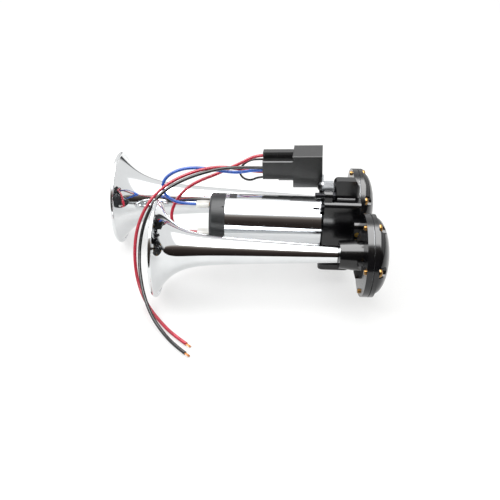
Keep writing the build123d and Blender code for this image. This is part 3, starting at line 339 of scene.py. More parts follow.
# %% Flared horn tree: inputs and the grid's two directions
horn, horn_in, horn_out = new_tree("flared_horn", (
    ("Mouth", "Vector"), ("Tail", "Float"), ("Throat Radius", "Float"), ("Taper", "Float"),
    ("Flare", "Float"), ("Flare Length", "Float"), ("Wall", "Float"), ("Bell Radius", "Float"),
    ("Bead Radius", "Float"), ("Spigot Radius", "Float"), ("Spigot Length", "Float"),
    ("Columns", "Int"), ("Turns", "Int"), ("Finish", "Material")))
given = horn_in.outputs
horn_grid = add(horn, "GeometryNodeMeshGrid", inputs={
    "Vertices X": given["Columns"], "Vertices Y": given["Turns"]})
flat = add(horn, "ShaderNodeSeparateXYZ", inputs={0: add(horn, "GeometryNodeInputPosition")}).outputs
turn = add(horn, "ShaderNodeMath", {"operation": "MULTIPLY"}, {0: flat["Y"], 1: 2 * math.pi})
doubled = add(horn, "ShaderNodeMath", {"operation": "MULTIPLY"}, {0: flat["X"], 1: 2.0})
away = add(horn, "ShaderNodeMath", {"operation": "ABSOLUTE"}, {0: doubled})
way = add(horn, "ShaderNodeMath", {"operation": "SUBTRACT"}, {0: 1.0, 1: away})  # 0 tail, 1 mouth
inside = add(horn, "ShaderNodeMath", {"operation": "GREATER_THAN"}, {0: flat["X"], 1: 0.0})
print("grid runs", len(horn.nodes), "nodes")

# %% [markdown]
# Even columns would waste faces on the straight cone. So they crowd towards the mouth, where the
# curve is tight, and a few are kept for the spigot that enters the driver.

# %% Flared horn tree: distance from the mouth
spigot_share, crowding = 0.05, 2.6  # part of the columns on the spigot; how they crowd
hair = 0.001                        # keeps a column on the border on its own side
back = add(horn, "ShaderNodeMapRange", inputs={
    "Value": way, "From Min": spigot_share, "From Max": 1.0, "To Min": 1.0, "To Max": 0.0})
crowded = add(horn, "ShaderNodeMath", {"operation": "POWER"}, {0: back, 1: crowding})
tube_run = add(horn, "ShaderNodeMath", {"operation": "SUBTRACT"}, {0: given["Tail"], 1: given["Bead Radius"]})
on_tube = add(horn, "ShaderNodeMath", {"operation": "MULTIPLY_ADD"}, {
    0: crowded, 1: tube_run, 2: given["Bead Radius"]})
left_over = add(horn, "ShaderNodeMapRange", inputs={
    "Value": way, "From Max": spigot_share, "To Min": 1.0, "To Max": 0.0})
on_spigot = add(horn, "ShaderNodeMath", {"operation": "MULTIPLY_ADD"}, {
    0: left_over, 1: given["Spigot Length"], 2: given["Tail"]})
in_spigot = add(horn, "ShaderNodeMath", {"operation": "LESS_THAN"}, {0: way, 1: spigot_share - hair})
distance = add(horn, "GeometryNodeSwitch", {"input_type": "FLOAT"}, {
    "Switch": in_spigot, "False": on_tube, "True": on_spigot})
print("distance done,", len(horn.nodes), "nodes")

# %% [markdown]
# The radius is the cone plus the flare, which falls by the same factor over every step away from the
# mouth. The slope comes from the same two terms, because the wall needs it.

# %% Flared horn tree: outside radius by the rule, and its slope
past_bead = add(horn, "ShaderNodeMath", {"operation": "SUBTRACT"}, {0: given["Bead Radius"], 1: distance})
power = add(horn, "ShaderNodeMath", {"operation": "DIVIDE"}, {0: past_bead, 1: given["Flare Length"]})
fall = add(horn, "ShaderNodeMath", {"operation": "EXPONENT"}, {0: power})
flare = add(horn, "ShaderNodeMath", {"operation": "MULTIPLY"}, {0: fall, 1: given["Flare"]})
to_tail = add(horn, "ShaderNodeMath", {"operation": "SUBTRACT"}, {0: given["Tail"], 1: distance})
cone = add(horn, "ShaderNodeMath", {"operation": "MULTIPLY_ADD"}, {
    0: to_tail, 1: given["Taper"], 2: given["Throat Radius"]})
rule = add(horn, "ShaderNodeMath", {"operation": "ADD"}, {0: cone, 1: flare})
radius = add(horn, "GeometryNodeSwitch", {"input_type": "FLOAT"}, {
    "Switch": in_spigot, "False": rule, "True": given["Spigot Radius"]})
steep = add(horn, "ShaderNodeMath", {"operation": "DIVIDE"}, {0: flare, 1: given["Flare Length"]})
fall_rate = add(horn, "ShaderNodeMath", {"operation": "ADD"}, {0: steep, 1: given["Taper"]})
slope = add(horn, "GeometryNodeSwitch", {"input_type": "FLOAT"}, {
    "Switch": in_spigot, "False": fall_rate, "True": 0.0})
print("rule done,", len(horn.nodes), "nodes")

# %% [markdown]
# A spun wall is even when it is measured square to its surface. Stepping straight towards the axis
# would thin it in the bell, so the inner wall steps in along the slope's normal.

# %% Flared horn tree: wall thickness, square to the slope
# on the rim of the tail the two walls meet half way
at_end = add(horn, "ShaderNodeMath", {"operation": "LESS_THAN"}, {0: way, 1: hair / 10})
depth_share = add(horn, "GeometryNodeSwitch", {"input_type": "FLOAT"}, {
    "Switch": at_end, "False": inside, "True": 0.5})
inward = add(horn, "ShaderNodeMath", {"operation": "MULTIPLY"}, {0: depth_share, 1: given["Wall"]})
squared = add(horn, "ShaderNodeMath", {"operation": "MULTIPLY_ADD"}, {0: slope, 1: slope, 2: 1.0})
stretch = add(horn, "ShaderNodeMath", {"operation": "SQRT"}, {0: squared})
drop = add(horn, "ShaderNodeMath", {"operation": "DIVIDE"}, {0: inward, 1: stretch})
forward_shift = add(horn, "ShaderNodeMath", {"operation": "MULTIPLY"}, {0: drop, 1: slope})
along = add(horn, "ShaderNodeMath", {"operation": "SUBTRACT"}, {0: distance, 1: forward_shift})
across = add(horn, "ShaderNodeMath", {"operation": "SUBTRACT"}, {0: radius, 1: drop})
print("wall done,", len(horn.nodes), "nodes")

# %% [markdown]
# Sine and cosine wrap the grid round the axis. The rolled bead is a ring swept round the mouth.

# %% Flared horn tree: wrap round the axis, bead, join
sine = add(horn, "ShaderNodeMath", {"operation": "SINE"}, {0: turn})
cosine = add(horn, "ShaderNodeMath", {"operation": "COSINE"}, {0: turn})
sideways = add(horn, "ShaderNodeMath", {"operation": "MULTIPLY"}, {0: across, 1: cosine})
upward = add(horn, "ShaderNodeMath", {"operation": "MULTIPLY"}, {0: across, 1: sine})
wrapped = add(horn, "ShaderNodeCombineXYZ", inputs={"X": along, "Y": sideways, "Z": upward})
shell = add(horn, "GeometryNodeSetPosition", inputs={"Geometry": horn_grid, "Position": wrapped})
same_point = 1e-6
closed = add(horn, "GeometryNodeMergeByDistance", inputs={"Geometry": shell, "Distance": same_point})
bead_circle = add(horn, "ShaderNodeMath", {"operation": "SUBTRACT"}, {
    0: given["Bell Radius"], 1: given["Bead Radius"]})
bead_path = add(horn, "GeometryNodeCurvePrimitiveCircle", inputs={
    "Resolution": given["Turns"], "Radius": bead_circle})
bead_sides = 24
bead_round = add(horn, "GeometryNodeCurvePrimitiveCircle", inputs={
    "Resolution": bead_sides, "Radius": given["Bead Radius"]})
bead = add(horn, "GeometryNodeCurveToMesh", inputs={"Curve": bead_path, "Profile Curve": bead_round})
bead_forward = add(horn, "ShaderNodeCombineXYZ", inputs={"X": given["Bead Radius"]})
bead_placed = add(horn, "GeometryNodeTransform", inputs={
    "Geometry": bead, "Translation": bead_forward, "Rotation": (0, math.pi / 2, 0)})
both = add(horn, "GeometryNodeJoinGeometry")
horn.links.new(closed.outputs["Geometry"], both.inputs[0])
horn.links.new(bead_placed.outputs["Geometry"], both.inputs[0])
at_mouth = add(horn, "GeometryNodeTransform", inputs={"Geometry": both, "Translation": given["Mouth"]})
print("wrapped,", len(horn.nodes), "nodes")

# %% [markdown]
# Chrome shows every facet, so all is shaded smooth, and only true corners stay crisp.

# %% Flared horn tree: shading and finish
corner_angle = math.radians(35)
edge_bend = add(horn, "GeometryNodeInputMeshEdgeAngle").outputs["Unsigned Angle"]
is_corner = add(horn, "ShaderNodeMath", {"operation": "GREATER_THAN"}, {0: edge_bend, 1: corner_angle})
smooth = add(horn, "GeometryNodeSetShadeSmooth", inputs={"Geometry": at_mouth})
crisp = add(horn, "GeometryNodeSetShadeSmooth", {"domain": "EDGE"}, {
    "Geometry": smooth, "Selection": is_corner, "Shade Smooth": False})
real = add(horn, "GeometryNodeRealizeInstances", inputs={"Geometry": crisp})
plated = add(horn, "GeometryNodeSetMaterial", inputs={"Geometry": real, "Material": given["Finish"]})
horn.links.new(plated.outputs[0], horn_out.inputs[0])
print("horn tree has", len(horn.nodes), "nodes")

# %% Grow both trumpets
# CAD's own driving sizes, in metres; reach is from the mouth to the driver's face
driver_face, horn_axis_z = 0.091725, 0.0402
long_axis_y, short_axis_y = 0.04265, -0.04535
throat_radius, taper, wall = 0.0064, 0.0475, 0.0014
bead_radius, spigot_radius, spigot_length = 0.0015, 0.0058, 0.012
neck_length = 0.0171
lip_inset = 0.8         # the wall ends this many bead radii inside the bell's radius
columns, turns_round = 241, 161
for name, y, reach, bell_radius, flare_length in (
        ("long", long_axis_y, 0.20345, 0.0402, 0.0155), ("short", short_axis_y, 0.15705, 0.0375, 0.0113)):
    tail = reach - neck_length
    cone_at_mouth = throat_radius + taper * tail
    trumpet = grown("chromed_trumpet_" + name, horn, {
        "Mouth": (driver_face - reach, y, horn_axis_z), "Tail": tail, "Throat Radius": throat_radius,
        "Taper": taper, "Flare": bell_radius - lip_inset * bead_radius - cone_at_mouth,
        "Flare Length": flare_length, "Wall": wall, "Bell Radius": bell_radius,
        "Bead Radius": bead_radius, "Spigot Radius": spigot_radius, "Spigot Length": spigot_length,
        "Columns": columns, "Turns": turns_round, "Finish": chrome_plate})
    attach(trumpet, horn_body)
    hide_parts("trumpet_" + name)

# %% [markdown]
# ## The end cap's latch
# The motor's end cap snaps into the can: a tongue of the cap reaches under the steel and its head
# fills the can's window, a quarter of a millimetre below the surface. The head follows the can's
# round, so it is one side profile carried across in small steps, each step lifted to the radius it
# should have there. A bevel takes the sharpness off the moulded edges.

# %% Latch in the can's window
# the motor's axis and the window's edges in metres, as in CAD
motor_y, motor_z = -0.00135, 0.0447
window_start, window_end, window_half = -0.011325, -0.005525, 0.00425
latch_gap, latch_root, latch_edge = 0.00012, 0.0002, 0.00018
foot_radius, neck_radius, head_radius = 0.0183, 0.0201, 0.02125
root_x, head_start, head_end = window_start - latch_root, window_start + latch_gap, window_end - latch_gap
latch_profile = [(root_x, foot_radius), (root_x, neck_radius), (head_start, neck_radius),
                 (head_start, head_radius), (head_end, head_radius), (head_end, foot_radius)]
latch_steps = 9
latch_mesh = bmesh.new()
rows = []
for step in range(latch_steps):
    across = (window_half - latch_gap) * (2 * step / (latch_steps - 1) - 1)
    rows.append([latch_mesh.verts.new((x, motor_y + across, motor_z + math.sqrt(radius ** 2 - across ** 2)))
                 for x, radius in latch_profile])
for row, following in zip(rows, rows[1:]):
    for k in range(len(row)):   # k - 1 starts at the last point, so the round closes
        latch_mesh.faces.new((row[k - 1], row[k], following[k], following[k - 1]))
latch_mesh.faces.new(rows[0])
latch_mesh.faces.new(rows[-1])
bmesh.ops.recalc_face_normals(latch_mesh, faces=latch_mesh.faces)
latch_data = bpy.data.meshes.new("end_cap_latch")
latch_mesh.to_mesh(latch_data)
latch_mesh.free()
latch_data.materials.append(grey_phenolic)
latch = bpy.data.objects.new("end_cap_latch", latch_data)
bpy.context.scene.collection.objects.link(latch)
latch_bevel = latch.modifiers.new("moulded_edge", "BEVEL")
latch_bevel.width, latch_bevel.segments, latch_bevel.limit_method = latch_edge, 2, "ANGLE"
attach(latch, horn_body)
print("latch", len(latch_data.polygons), "faces")

# %% [markdown]
# ## Bare wire ends
# The insulation is stripped for 5 mm, and the conductor under it is a rope of fine copper wires laid
# in a slow twist. Once the rope is cut it opens a little. A solid copper pin would read as a rod, so
# each strand is a curve of its own: a golden-angle spiral spreads them evenly over the round bundle,
# the twist turns them as they go, and a seeded random opens the cut end.

# %% Strand tree
rope, rope_in, rope_out = new_tree("laid_strands", (
    ("Start", "Vector"), ("Heading", "Float"), ("Length", "Float"), ("Bundle Radius", "Float"),
    ("Strand Radius", "Float"), ("Strands", "Int"), ("Twist", "Float"), ("Opening", "Float"),
    ("Seed", "Int"), ("Finish", "Material")))
given = rope_in.outputs
golden_angle = math.pi * (3 - math.sqrt(5))
strand_points, opening_power = 9, 2.5    # a high power keeps the lay closed until near the cut
least_loose, shortest_cut, longest_cut = 0.2, 0.84, 0.95
strand_end = add(rope, "ShaderNodeCombineXYZ", inputs={"X": given["Length"]})
line = add(rope, "GeometryNodeCurvePrimitiveLine", inputs={"End": strand_end})
stepped = add(rope, "GeometryNodeResampleCurve", inputs={"Curve": line, "Count": strand_points})
copies = add(rope, "GeometryNodeDuplicateElements", {"domain": "SPLINE"}, {
    "Geometry": stepped, "Amount": given["Strands"]})
number = copies.outputs["Duplicate Index"]
share = add(rope, "GeometryNodeSplineParameter").outputs["Factor"]
spiral = add(rope, "ShaderNodeMath", {"operation": "MULTIPLY"}, {0: number, 1: golden_angle})
angle = add(rope, "ShaderNodeMath", {"operation": "MULTIPLY_ADD"}, {
    0: share, 1: given["Twist"], 2: spiral})
filled = add(rope, "ShaderNodeMath", {"operation": "DIVIDE"}, {0: number, 1: given["Strands"]})
spread = add(rope, "ShaderNodeMath", {"operation": "SQRT"}, {0: filled})
laid = add(rope, "ShaderNodeMath", {"operation": "MULTIPLY"}, {0: spread, 1: given["Bundle Radius"]})
late = add(rope, "ShaderNodeMath", {"operation": "POWER"}, {0: share, 1: opening_power})
loose = add(rope, "FunctionNodeRandomValue", {"data_type": "FLOAT"}, {
    "ID": number, "Seed": given["Seed"], least_number: least_loose, most_number: 1.0})
opened = add(rope, "ShaderNodeMath", {"operation": "MULTIPLY"}, {
    0: late, 1: loose.outputs[drawn_number]})
off_axis = add(rope, "ShaderNodeMath", {"operation": "MULTIPLY_ADD"}, {
    0: opened, 1: given["Opening"], 2: laid})
print("strand paths", len(rope.nodes), "nodes")

# %% [markdown]
# A blade never cuts all strands to one length, so each gets its own. Then each path gets its round
# section, and the whole rope turns the way the wire heads.

# %% Strand tree: place, round section, finish
next_seed = add(rope, "ShaderNodeMath", {"operation": "ADD"}, {0: given["Seed"], 1: 1.0})
cut = add(rope, "FunctionNodeRandomValue", {"data_type": "FLOAT"}, {
    "ID": number, "Seed": next_seed, least_number: shortest_cut, most_number: longest_cut})
reach_along = add(rope, "ShaderNodeMath", {"operation": "MULTIPLY"}, {
    0: share, 1: cut.outputs[drawn_number]})
forward_run = add(rope, "ShaderNodeMath", {"operation": "MULTIPLY"}, {
    0: reach_along, 1: given["Length"]})
strand_cos = add(rope, "ShaderNodeMath", {"operation": "COSINE"}, {0: angle})
strand_sin = add(rope, "ShaderNodeMath", {"operation": "SINE"}, {0: angle})
strand_y = add(rope, "ShaderNodeMath", {"operation": "MULTIPLY"}, {0: strand_cos, 1: off_axis})
strand_z = add(rope, "ShaderNodeMath", {"operation": "MULTIPLY"}, {0: strand_sin, 1: off_axis})
strand_place = add(rope, "ShaderNodeCombineXYZ", inputs={
    "X": forward_run, "Y": strand_y, "Z": strand_z})
strand_lines = add(rope, "GeometryNodeSetPosition", inputs={
    "Geometry": copies.outputs["Geometry"], "Position": strand_place})
strand_sides = 6
strand_round = add(rope, "GeometryNodeCurvePrimitiveCircle", inputs={
    "Resolution": strand_sides, "Radius": given["Strand Radius"]})
strand_mesh = add(rope, "GeometryNodeCurveToMesh", inputs={
    "Curve": strand_lines, "Profile Curve": strand_round, "Fill Caps": True})
heading = add(rope, "ShaderNodeCombineXYZ", inputs={"Z": given["Heading"]})
heading_turn = add(rope, "FunctionNodeEulerToRotation", inputs={"Euler": heading})
strand_set = add(rope, "GeometryNodeTransform", inputs={
    "Geometry": strand_mesh, "Translation": given["Start"], "Rotation": heading_turn})
strand_smooth = add(rope, "GeometryNodeSetShadeSmooth", inputs={"Geometry": strand_set})
strand_real = add(rope, "GeometryNodeRealizeInstances", inputs={"Geometry": strand_smooth})
strand_metal = add(rope, "GeometryNodeSetMaterial", inputs={
    "Geometry": strand_real, "Material": given["Finish"]})
rope.links.new(strand_metal.outputs[0], rope_out.inputs[0])
print("strand tree has", len(rope.nodes), "nodes")

# %% [markdown]
# ## The wires
# Each wire is one smooth NURBS line through the air, not a chain of bends. Its control points are
# the route that the CAD tube takes, and the curve's own bevel gives it its round section. The order
# and the end rule are set after the points are in, because a spline with no points forgets them.
# The supply pair leaves the socket, runs over the bells and ends on the floor in bare copper. The
# other leads go back to the motor and to the socket. One table holds each wire's insulation, its
# length and thickness in metres, and its far end.

# %% The wires' routes
wire_start = 0.017975               # inside the socket's cavity
rest = 0.00135                      # a wire's centre where it lies on the floor

routes = {
    "supply_black": [
        (wire_start, 0.0192, 0.0824), (0.0080, 0.0192, 0.0824), (-0.0060, 0.0159, 0.0834),
        (-0.0185, 0.0115, 0.0840), (-0.0320, 0.0060, 0.0825), (-0.0445, 0.0000, 0.0800),
        (-0.0560, -0.0060, 0.0760), (-0.0660, -0.0125, 0.0705), (-0.0735, -0.0195, 0.0610),
        (-0.0785, -0.0280, 0.0480), (-0.0800, -0.0385, 0.0340), (-0.0780, -0.0515, 0.0220),
        (-0.0725, -0.0675, 0.0105), (-0.0635, -0.0855, 0.0045), (-0.0530, -0.1000, rest),
        (-0.0430, -0.1130, rest), (-0.0345, -0.1210, rest)],
    "supply_red": [
        (wire_start, 0.0255, 0.0763), (0.0085, 0.0255, 0.0763), (-0.0060, 0.0232, 0.0790),
        (-0.0190, 0.0175, 0.0830), (-0.0330, 0.0095, 0.0840), (-0.0470, 0.0025, 0.0815),
        (-0.0595, -0.0045, 0.0770), (-0.0700, -0.0115, 0.0700), (-0.0775, -0.0190, 0.0605),
        (-0.0830, -0.0275, 0.0475), (-0.0840, -0.0375, 0.0335), (-0.0820, -0.0475, 0.0195),
        (-0.0770, -0.0575, 0.0085), (-0.0690, -0.0705, 0.0030), (-0.0575, -0.0865, rest),
        (-0.0460, -0.1010, rest), (-0.0350, -0.1110, rest)],
    "motor_blue": [
        (wire_start, 0.0216, 0.0794), (0.0080, 0.0216, 0.0794), (-0.0050, 0.0190, 0.0775),
        (-0.0160, 0.0180, 0.0785), (-0.0280, 0.0160, 0.0810), (-0.0390, 0.0140, 0.0830),
        (-0.0505, 0.0120, 0.0825), (-0.0595, 0.0095, 0.0795), (-0.0655, 0.0070, 0.0745),
        (-0.0670, 0.0045, 0.0680), (-0.0630, 0.0020, 0.0615), (-0.0555, 0.0000, 0.0585),
        (-0.0475, -0.00135, 0.0577), (-0.037225, -0.00135, 0.0577)],
    "motor_red": [
        (wire_start, 0.0276, 0.0900), (0.0090, 0.0276, 0.0900), (-0.0040, 0.0263, 0.0830),
        (-0.0140, 0.0260, 0.0780), (-0.0245, 0.0235, 0.0735), (-0.0360, 0.0185, 0.0705),
        (-0.0455, 0.0130, 0.0670), (-0.0535, 0.0085, 0.0605), (-0.0585, 0.0050, 0.0525),
        (-0.0605, 0.0020, 0.0440), (-0.0585, 0.0000, 0.0365), (-0.0525, -0.0012, 0.0322),
        (-0.0450, -0.00135, 0.0317), (-0.037225, -0.00135, 0.0317)],
    "jumper": [
        (wire_start, 0.0310, 0.0852), (0.0085, 0.0310, 0.0852), (0.0020, 0.0314, 0.0832),
        (-0.0032, 0.0305, 0.0792), (-0.0053, 0.0283, 0.0738), (-0.0022, 0.0252, 0.0700),
        (0.0044, 0.0215, 0.0696), (0.0115, 0.0190, 0.0744), (wire_start, 0.0190, 0.0744)],
}
print("routes", {name: len(points) for name, points in routes.items()})

# %% Wires
def wire(name, points, diameter, insulation):
    """Round wire on one open NURBS spline."""
    curve = bpy.data.curves.new(name, "CURVE")
    curve.dimensions = "3D"
    spline = curve.splines.new("NURBS")
    spline.points.add(len(points) - 1)
    for point, place in zip(spline.points, points):
        point.co = (*place, 1.0)
    spline.order_u = 3
    spline.use_endpoint_u = True
    curve.bevel_depth = diameter / 2
    curve.bevel_resolution = 6
    curve.use_fill_caps = True
    curve.materials.append(insulation)
    piece = bpy.data.objects.new(name, curve)
    bpy.context.scene.collection.objects.link(piece)
    return piece


wire_diameter, jumper_diameter = 0.0026, 0.0018
wire_facts = {      # insulation, its slot, length, diameter, far end
    "supply_black": (pvc_black, "pvc_black", 0.2457, wire_diameter, "bare"),
    "supply_red": (pvc_red, "pvc_red", 0.2499, wire_diameter, "bare"),
    "motor_blue": (pvc_blue, "pvc_blue", 0.1287, wire_diameter, "object"),
    "motor_red": (pvc_red, "pvc_red", 0.1313, wire_diameter, "object"),
    "jumper": (pvc_black, "pvc_black", 0.0565, jumper_diameter, "object"),
}
wires = {}
for name, (insulation, insulation_slot, _, diameter, _) in wire_facts.items():
    wires[name] = wire(name, routes[name], diameter, insulation)
    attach(wires[name], horn_body)
    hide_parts("wire_" + name)
print("wires", sorted(wires))

# %% [markdown]
# The strands start where the insulation ends and head the way the wire's last run does.

# %% Grow the strands
bare_length, bundle_radius, strand_radius = 0.005, 0.00066, 0.00013
strands, twist, opening, first_seed = 24, 1.1, 0.0003, 11
tips = {}
for number, name in enumerate(("supply_black", "supply_red")):
    before, end = (Vector(place) for place in routes[name][-2:])
    heading_angle = math.atan2(end.y - before.y, end.x - before.x)
    tips[name] = grown("copper_strands_" + name, rope, {
        "Start": tuple(end), "Heading": heading_angle, "Length": bare_length,
        "Bundle Radius": bundle_radius, "Strand Radius": strand_radius, "Strands": strands,
        "Twist": twist, "Opening": opening, "Seed": first_seed + number, "Finish": bare_copper})
    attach(tips[name], horn_body)
    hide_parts("copper_" + name)

# %% [markdown]
# ## Screw threads
# CAD leaves its screws plain. Where a screw's tail shows behind a driver its thread is what tells a
# screw from a pin. A thread is a ridge of triangular section that climbs a helix, so the tree sweeps
# a three-sided profile along a spiral and puts one copy on each seed point, which is where a tail
# leaves its nut.

# %% Thread tree
thread, thread_in, thread_out = new_tree("thread_on_tails", (
    ("Shank Radius", "Float"), ("Pitch", "Float"), ("Length", "Float"), ("Ridge", "Float"),
    ("Finish", "Material")))
given = thread_in.outputs
steps_a_turn, ridge_sides = 18, 3
rounds = add(thread, "ShaderNodeMath", {"operation": "DIVIDE"}, {0: given["Length"], 1: given["Pitch"]})
helix = add(thread, "GeometryNodeCurveSpiral", inputs={
    "Resolution": steps_a_turn, "Rotations": rounds, "Start Radius": given["Shank Radius"],
    "End Radius": given["Shank Radius"], "Height": given["Length"]})
ridge_section = add(thread, "GeometryNodeCurvePrimitiveCircle", inputs={
    "Resolution": ridge_sides, "Radius": given["Ridge"]})
ridge = add(thread, "GeometryNodeCurveToMesh", inputs={
    "Curve": helix, "Profile Curve": ridge_section, "Fill Caps": True})
rearward = add(thread, "GeometryNodeTransform", inputs={
    "Geometry": ridge, "Rotation": (0, -math.pi / 2, 0)})
per_tail = add(thread, "GeometryNodeInstanceOnPoints", inputs={
    "Points": thread_in.outputs["Geometry"], "Instance": rearward})
thread_real = add(thread, "GeometryNodeRealizeInstances", inputs={"Geometry": per_tail})
thread_flat = add(thread, "GeometryNodeSetShadeSmooth", inputs={
    "Geometry": thread_real, "Shade Smooth": False})
thread_metal = add(thread, "GeometryNodeSetMaterial", inputs={
    "Geometry": thread_flat, "Material": given["Finish"]})
thread.links.new(thread_metal.outputs[0], thread_out.inputs[0])
print("thread tree has", len(thread.nodes), "nodes")

# %% Grow the threads on the drivers' screw tails
screws_a_driver, screw_circle, screw_lean = 5, 0.02775, 14
tail_out, tail_tip, shank_radius, pitch, ridge_radius = 0.0016, 0.0002, 0.00169, 0.0005, 0.00024
for name, y, inner_side in (("long", long_axis_y, -1), ("short", short_axis_y, 1)):
    turns = [math.radians(90 + inner_side * screw_lean + 360 * place / screws_a_driver)
             for place in range(screws_a_driver)]
    seats = [(driver_face, y + screw_circle * math.cos(turn), horn_axis_z + screw_circle * math.sin(turn))
             for turn in turns if inner_side * math.cos(turn) < 0]
    threads = grown("screw_threads_" + name, thread, {
        "Shank Radius": shank_radius, "Pitch": pitch, "Length": tail_out - tail_tip,
        "Ridge": ridge_radius, "Finish": yellow_zinc}, seats)
    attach(threads, horn_body)
print("threads on", len(seats), "tails a driver")

# %% [markdown]
# ## Floor and light
# The horn is shown as in a small product studio. Chrome shows the whole room, so the room's dark
# parts matter as much as its bright ones. Three helpers serve the cells that follow: one makes a
# flat sheet, one hides it from all but gloss, and one fills a colour ramp.

# %% Helpers for the studio
def staged_plane(name, corners, material):
    """Flat sheet that isn't part of the object."""
    mesh = bpy.data.meshes.new(name)
    mesh.from_pydata(corners, [], [(0, 1, 2, 3)])
    mesh.materials.append(material)
    sheet = bpy.data.objects.new(name, mesh)
    bpy.context.scene.collection.objects.link(sheet)
    return sheet


def reflections_only(sheet):
    """Let gloss alone see a sheet: no light on matt surfaces, no shadow, no sight of it."""
    sheet.visible_camera = sheet.visible_diffuse = False
    sheet.visible_shadow = sheet.visible_transmission = False


def set_stops(ramp, stops):
    """Fill a colour ramp with stops, each a place from 0 to 1 and a hex colour."""
    while len(ramp.elements) < len(stops):
        ramp.elements.new(0.5)
    for stop, (place, colour) in zip(ramp.elements, stops):
        stop.position = place
        stop.color = linear(colour)


print("studio helpers ready")

# %% [markdown]
# The horn lies on a pale paper sheet. More lamps could thin the shadows, but they would show in the
# chrome, so the sheet glows a little by itself, as a backdrop lit from behind does.

# %% Floor
floor_half, floor_z = 3.0, -0.0001
paper_glow = 0.57
# uncoated paper: no highlight at all, and a tooth that reads as softness
paper = finish("matt_white_paper", ("#A8A8A7", "#ACACAB"), (0.86, 0.94), 1.5, 1.5, 0.01, {
    "Specular IOR Level": 0.0, "Emission Strength": paper_glow})
floor = staged_plane("floor", [(-floor_half, -floor_half, floor_z), (floor_half, -floor_half, floor_z),
                               (floor_half, floor_half, floor_z), (-floor_half, floor_half, floor_z)], paper)
print("floor", floor.name)

# %% [markdown]
# A picture of a room could fill the surround, but a ramp over the height is enough. A dark band low
# at the horizon gives the tubes their crisp edge. The camera itself sees plain white.

# %% Surround
world = bpy.data.worlds.new("soft_white_surround")
bpy.context.scene.world = world
world.use_nodes = True
sky = world.node_tree
sky.nodes.clear()
direction = add(sky, "ShaderNodeTexCoord").outputs["Generated"]
height = add(sky, "ShaderNodeSeparateXYZ", inputs={"Vector": direction}).outputs["Z"]
band = add(sky, "ShaderNodeValToRGB", inputs={"Fac": height})
set_stops(band.color_ramp, ((0.0, "#3A3A3C"), (0.06, "#5A5A5C"), (0.13, "#F4F4F4"), (1.0, "#FFFFFF")))
seen_directly = add(sky, "ShaderNodeLightPath").outputs["Is Camera Ray"]
seen = add(sky, "ShaderNodeMix", {"data_type": "RGBA"}, {
    "Factor": seen_directly, colour_a: band, colour_b: linear("#FFFFFF")})
surround = add(sky, "ShaderNodeBackground", inputs={"Color": seen.outputs[mixed_colour]})
add(sky, "ShaderNodeOutputWorld", inputs={"Surface": surround})
print("surround ready")

# %% [markdown]
# The side of the room behind the camera is unlit, and a card of painted shade stands for it in the
# reflections. A plain black one would end in a hard line, so it is dark at its foot and fades to white at its
# top.

# %% Card of painted shade in front
card_y, card_top, card_half = -0.25, 0.33, 1.2
# painted shade: an emitting card, dark at its foot and white at its top, stands in the chrome for the unlit
# room
painted_shade_card, card_tree = empty_material("painted_shade_card")
card_place = add(card_tree, "ShaderNodeTexCoord").outputs["Object"]
card_height = add(card_tree, "ShaderNodeSeparateXYZ", inputs={"Vector": card_place}).outputs["Z"]
card_share = add(card_tree, "ShaderNodeMath", {"operation": "DIVIDE"}, {0: card_height, 1: card_top})
card_painted_shade = add(card_tree, "ShaderNodeValToRGB", inputs={"Fac": card_share})
set_stops(card_painted_shade.color_ramp, (
    (0.0, "#17120F"), (0.42, "#38312E"), (0.66, "#5E5550"), (0.84, "#A8A19A"), (1.0, "#FFFFFF")))
card_glow = add(card_tree, "ShaderNodeEmission", inputs={"Color": card_painted_shade})
add(card_tree, "ShaderNodeOutputMaterial", inputs={"Surface": card_glow})
card = staged_plane("painted_shade_sheet", [(-card_half, card_y, 0), (card_half, card_y, 0),
                                  (card_half, card_y, card_top), (-card_half, card_y, card_top)], painted_shade_card)
reflections_only(card)
print("card", card_top, "m high")

# %% [markdown]
# A wide bank of lit cloth overhead gives the black plastics their long soft highlights. An area
# light would do that too, but its edges stand in the chrome as hard white patches. A glowing sheet
# can fade towards its edges, as cloth with one lamp behind it does. It lights nothing matt, so it
# doesn't wash the blacks out.

# %% Overhead bank
bank_radiance, edge_radiance, bank_falloff = 9.6, 0.95, 6.0
bank_height, bank_middle_y = 1.0, -0.125
bank_half_x, bank_half_y, bank_fade = 1.5, 1.2, 0.75
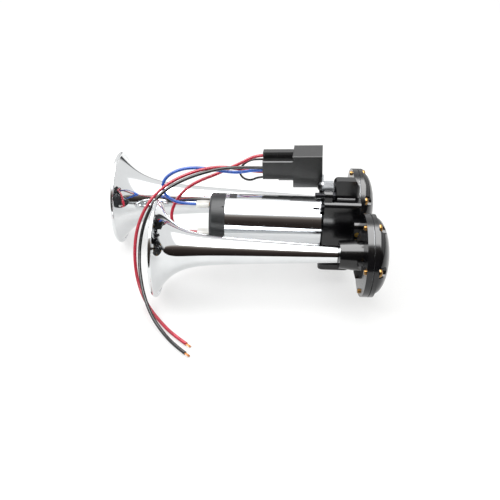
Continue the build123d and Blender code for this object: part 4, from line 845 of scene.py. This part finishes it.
# diffuser cloth over a lamp: bright in the middle, and no edge to see
lit_cloth, bank_tree = empty_material("lit_diffuser_cloth")
bank_place = add(bank_tree, "ShaderNodeTexCoord").outputs["Object"]
bank_split = add(bank_tree, "ShaderNodeSeparateXYZ", inputs={"Vector": bank_place}).outputs
bank_across = add(bank_tree, "ShaderNodeMath", {"operation": "SUBTRACT"}, {
    0: bank_split["Y"], 1: bank_middle_y})
insets = []
for reach, half in ((bank_split["X"], bank_half_x), (bank_across, bank_half_y)):
    out = add(bank_tree, "ShaderNodeMath", {"operation": "ABSOLUTE"}, {0: reach})
    insets.append(add(bank_tree, "ShaderNodeMath", {"operation": "SUBTRACT"}, {0: half, 1: out}))
inset = add(bank_tree, "ShaderNodeMath", {"operation": "MINIMUM"}, {0: insets[0], 1: insets[1]})
inset_share = add(bank_tree, "ShaderNodeMath", {"operation": "DIVIDE", "use_clamp": True}, {
    0: inset, 1: bank_fade})
bank_glow = add(bank_tree, "ShaderNodeMath", {"operation": "POWER"}, {0: inset_share, 1: bank_falloff})
bank_strength = add(bank_tree, "ShaderNodeMath", {"operation": "MULTIPLY_ADD"}, {
    0: bank_glow, 1: bank_radiance - edge_radiance, 2: edge_radiance})
bank_light = add(bank_tree, "ShaderNodeEmission", inputs={"Strength": bank_strength})
add(bank_tree, "ShaderNodeOutputMaterial", inputs={"Surface": bank_light})
near_y, far_y = bank_middle_y - bank_half_y, bank_middle_y + bank_half_y
bank = staged_plane("overhead_bank", [
    (-bank_half_x, near_y, bank_height), (bank_half_x, near_y, bank_height),
    (bank_half_x, far_y, bank_height), (-bank_half_x, far_y, bank_height)], lit_cloth)
reflections_only(bank)
print("bank", bank_half_x * 2, "by", bank_half_y * 2, "m")

# %% [markdown]
# Two softboxes, one from the left and one from above, light what isn't glossy. Area lights are
# enough here: their edges are lost in the white that the chrome shows round them.

# %% Softboxes
def softbox(name, place, target, sides, watts):
    """Rectangular area light that looks at a point."""
    data = bpy.data.lights.new(name, "AREA")
    data.shape = "RECTANGLE"
    data.size, data.size_y = sides
    data.energy = watts
    lamp = bpy.data.objects.new(name, data)
    bpy.context.scene.collection.objects.link(lamp)
    lamp.location = place
    lamp.rotation_euler = (Vector(target) - Vector(place)).to_track_quat("-Z", "Y").to_euler()


horn_middle = (0, 0, 0.05)
left_watts, top_watts = 8, 10
softbox("softbox_left", (-1.1, -0.3, 1.2), horn_middle, (1.0, 0.8), left_watts)
softbox("softbox_top", (0.2, 0.5, 1.5), horn_middle, (1.4, 1.0), top_watts)
bpy.context.scene.view_settings.view_transform = "Standard"     # shows hex colours as they are
print("lights", len(bpy.data.lights))

# %% Wire count
print("declared", len(wires), "wires")
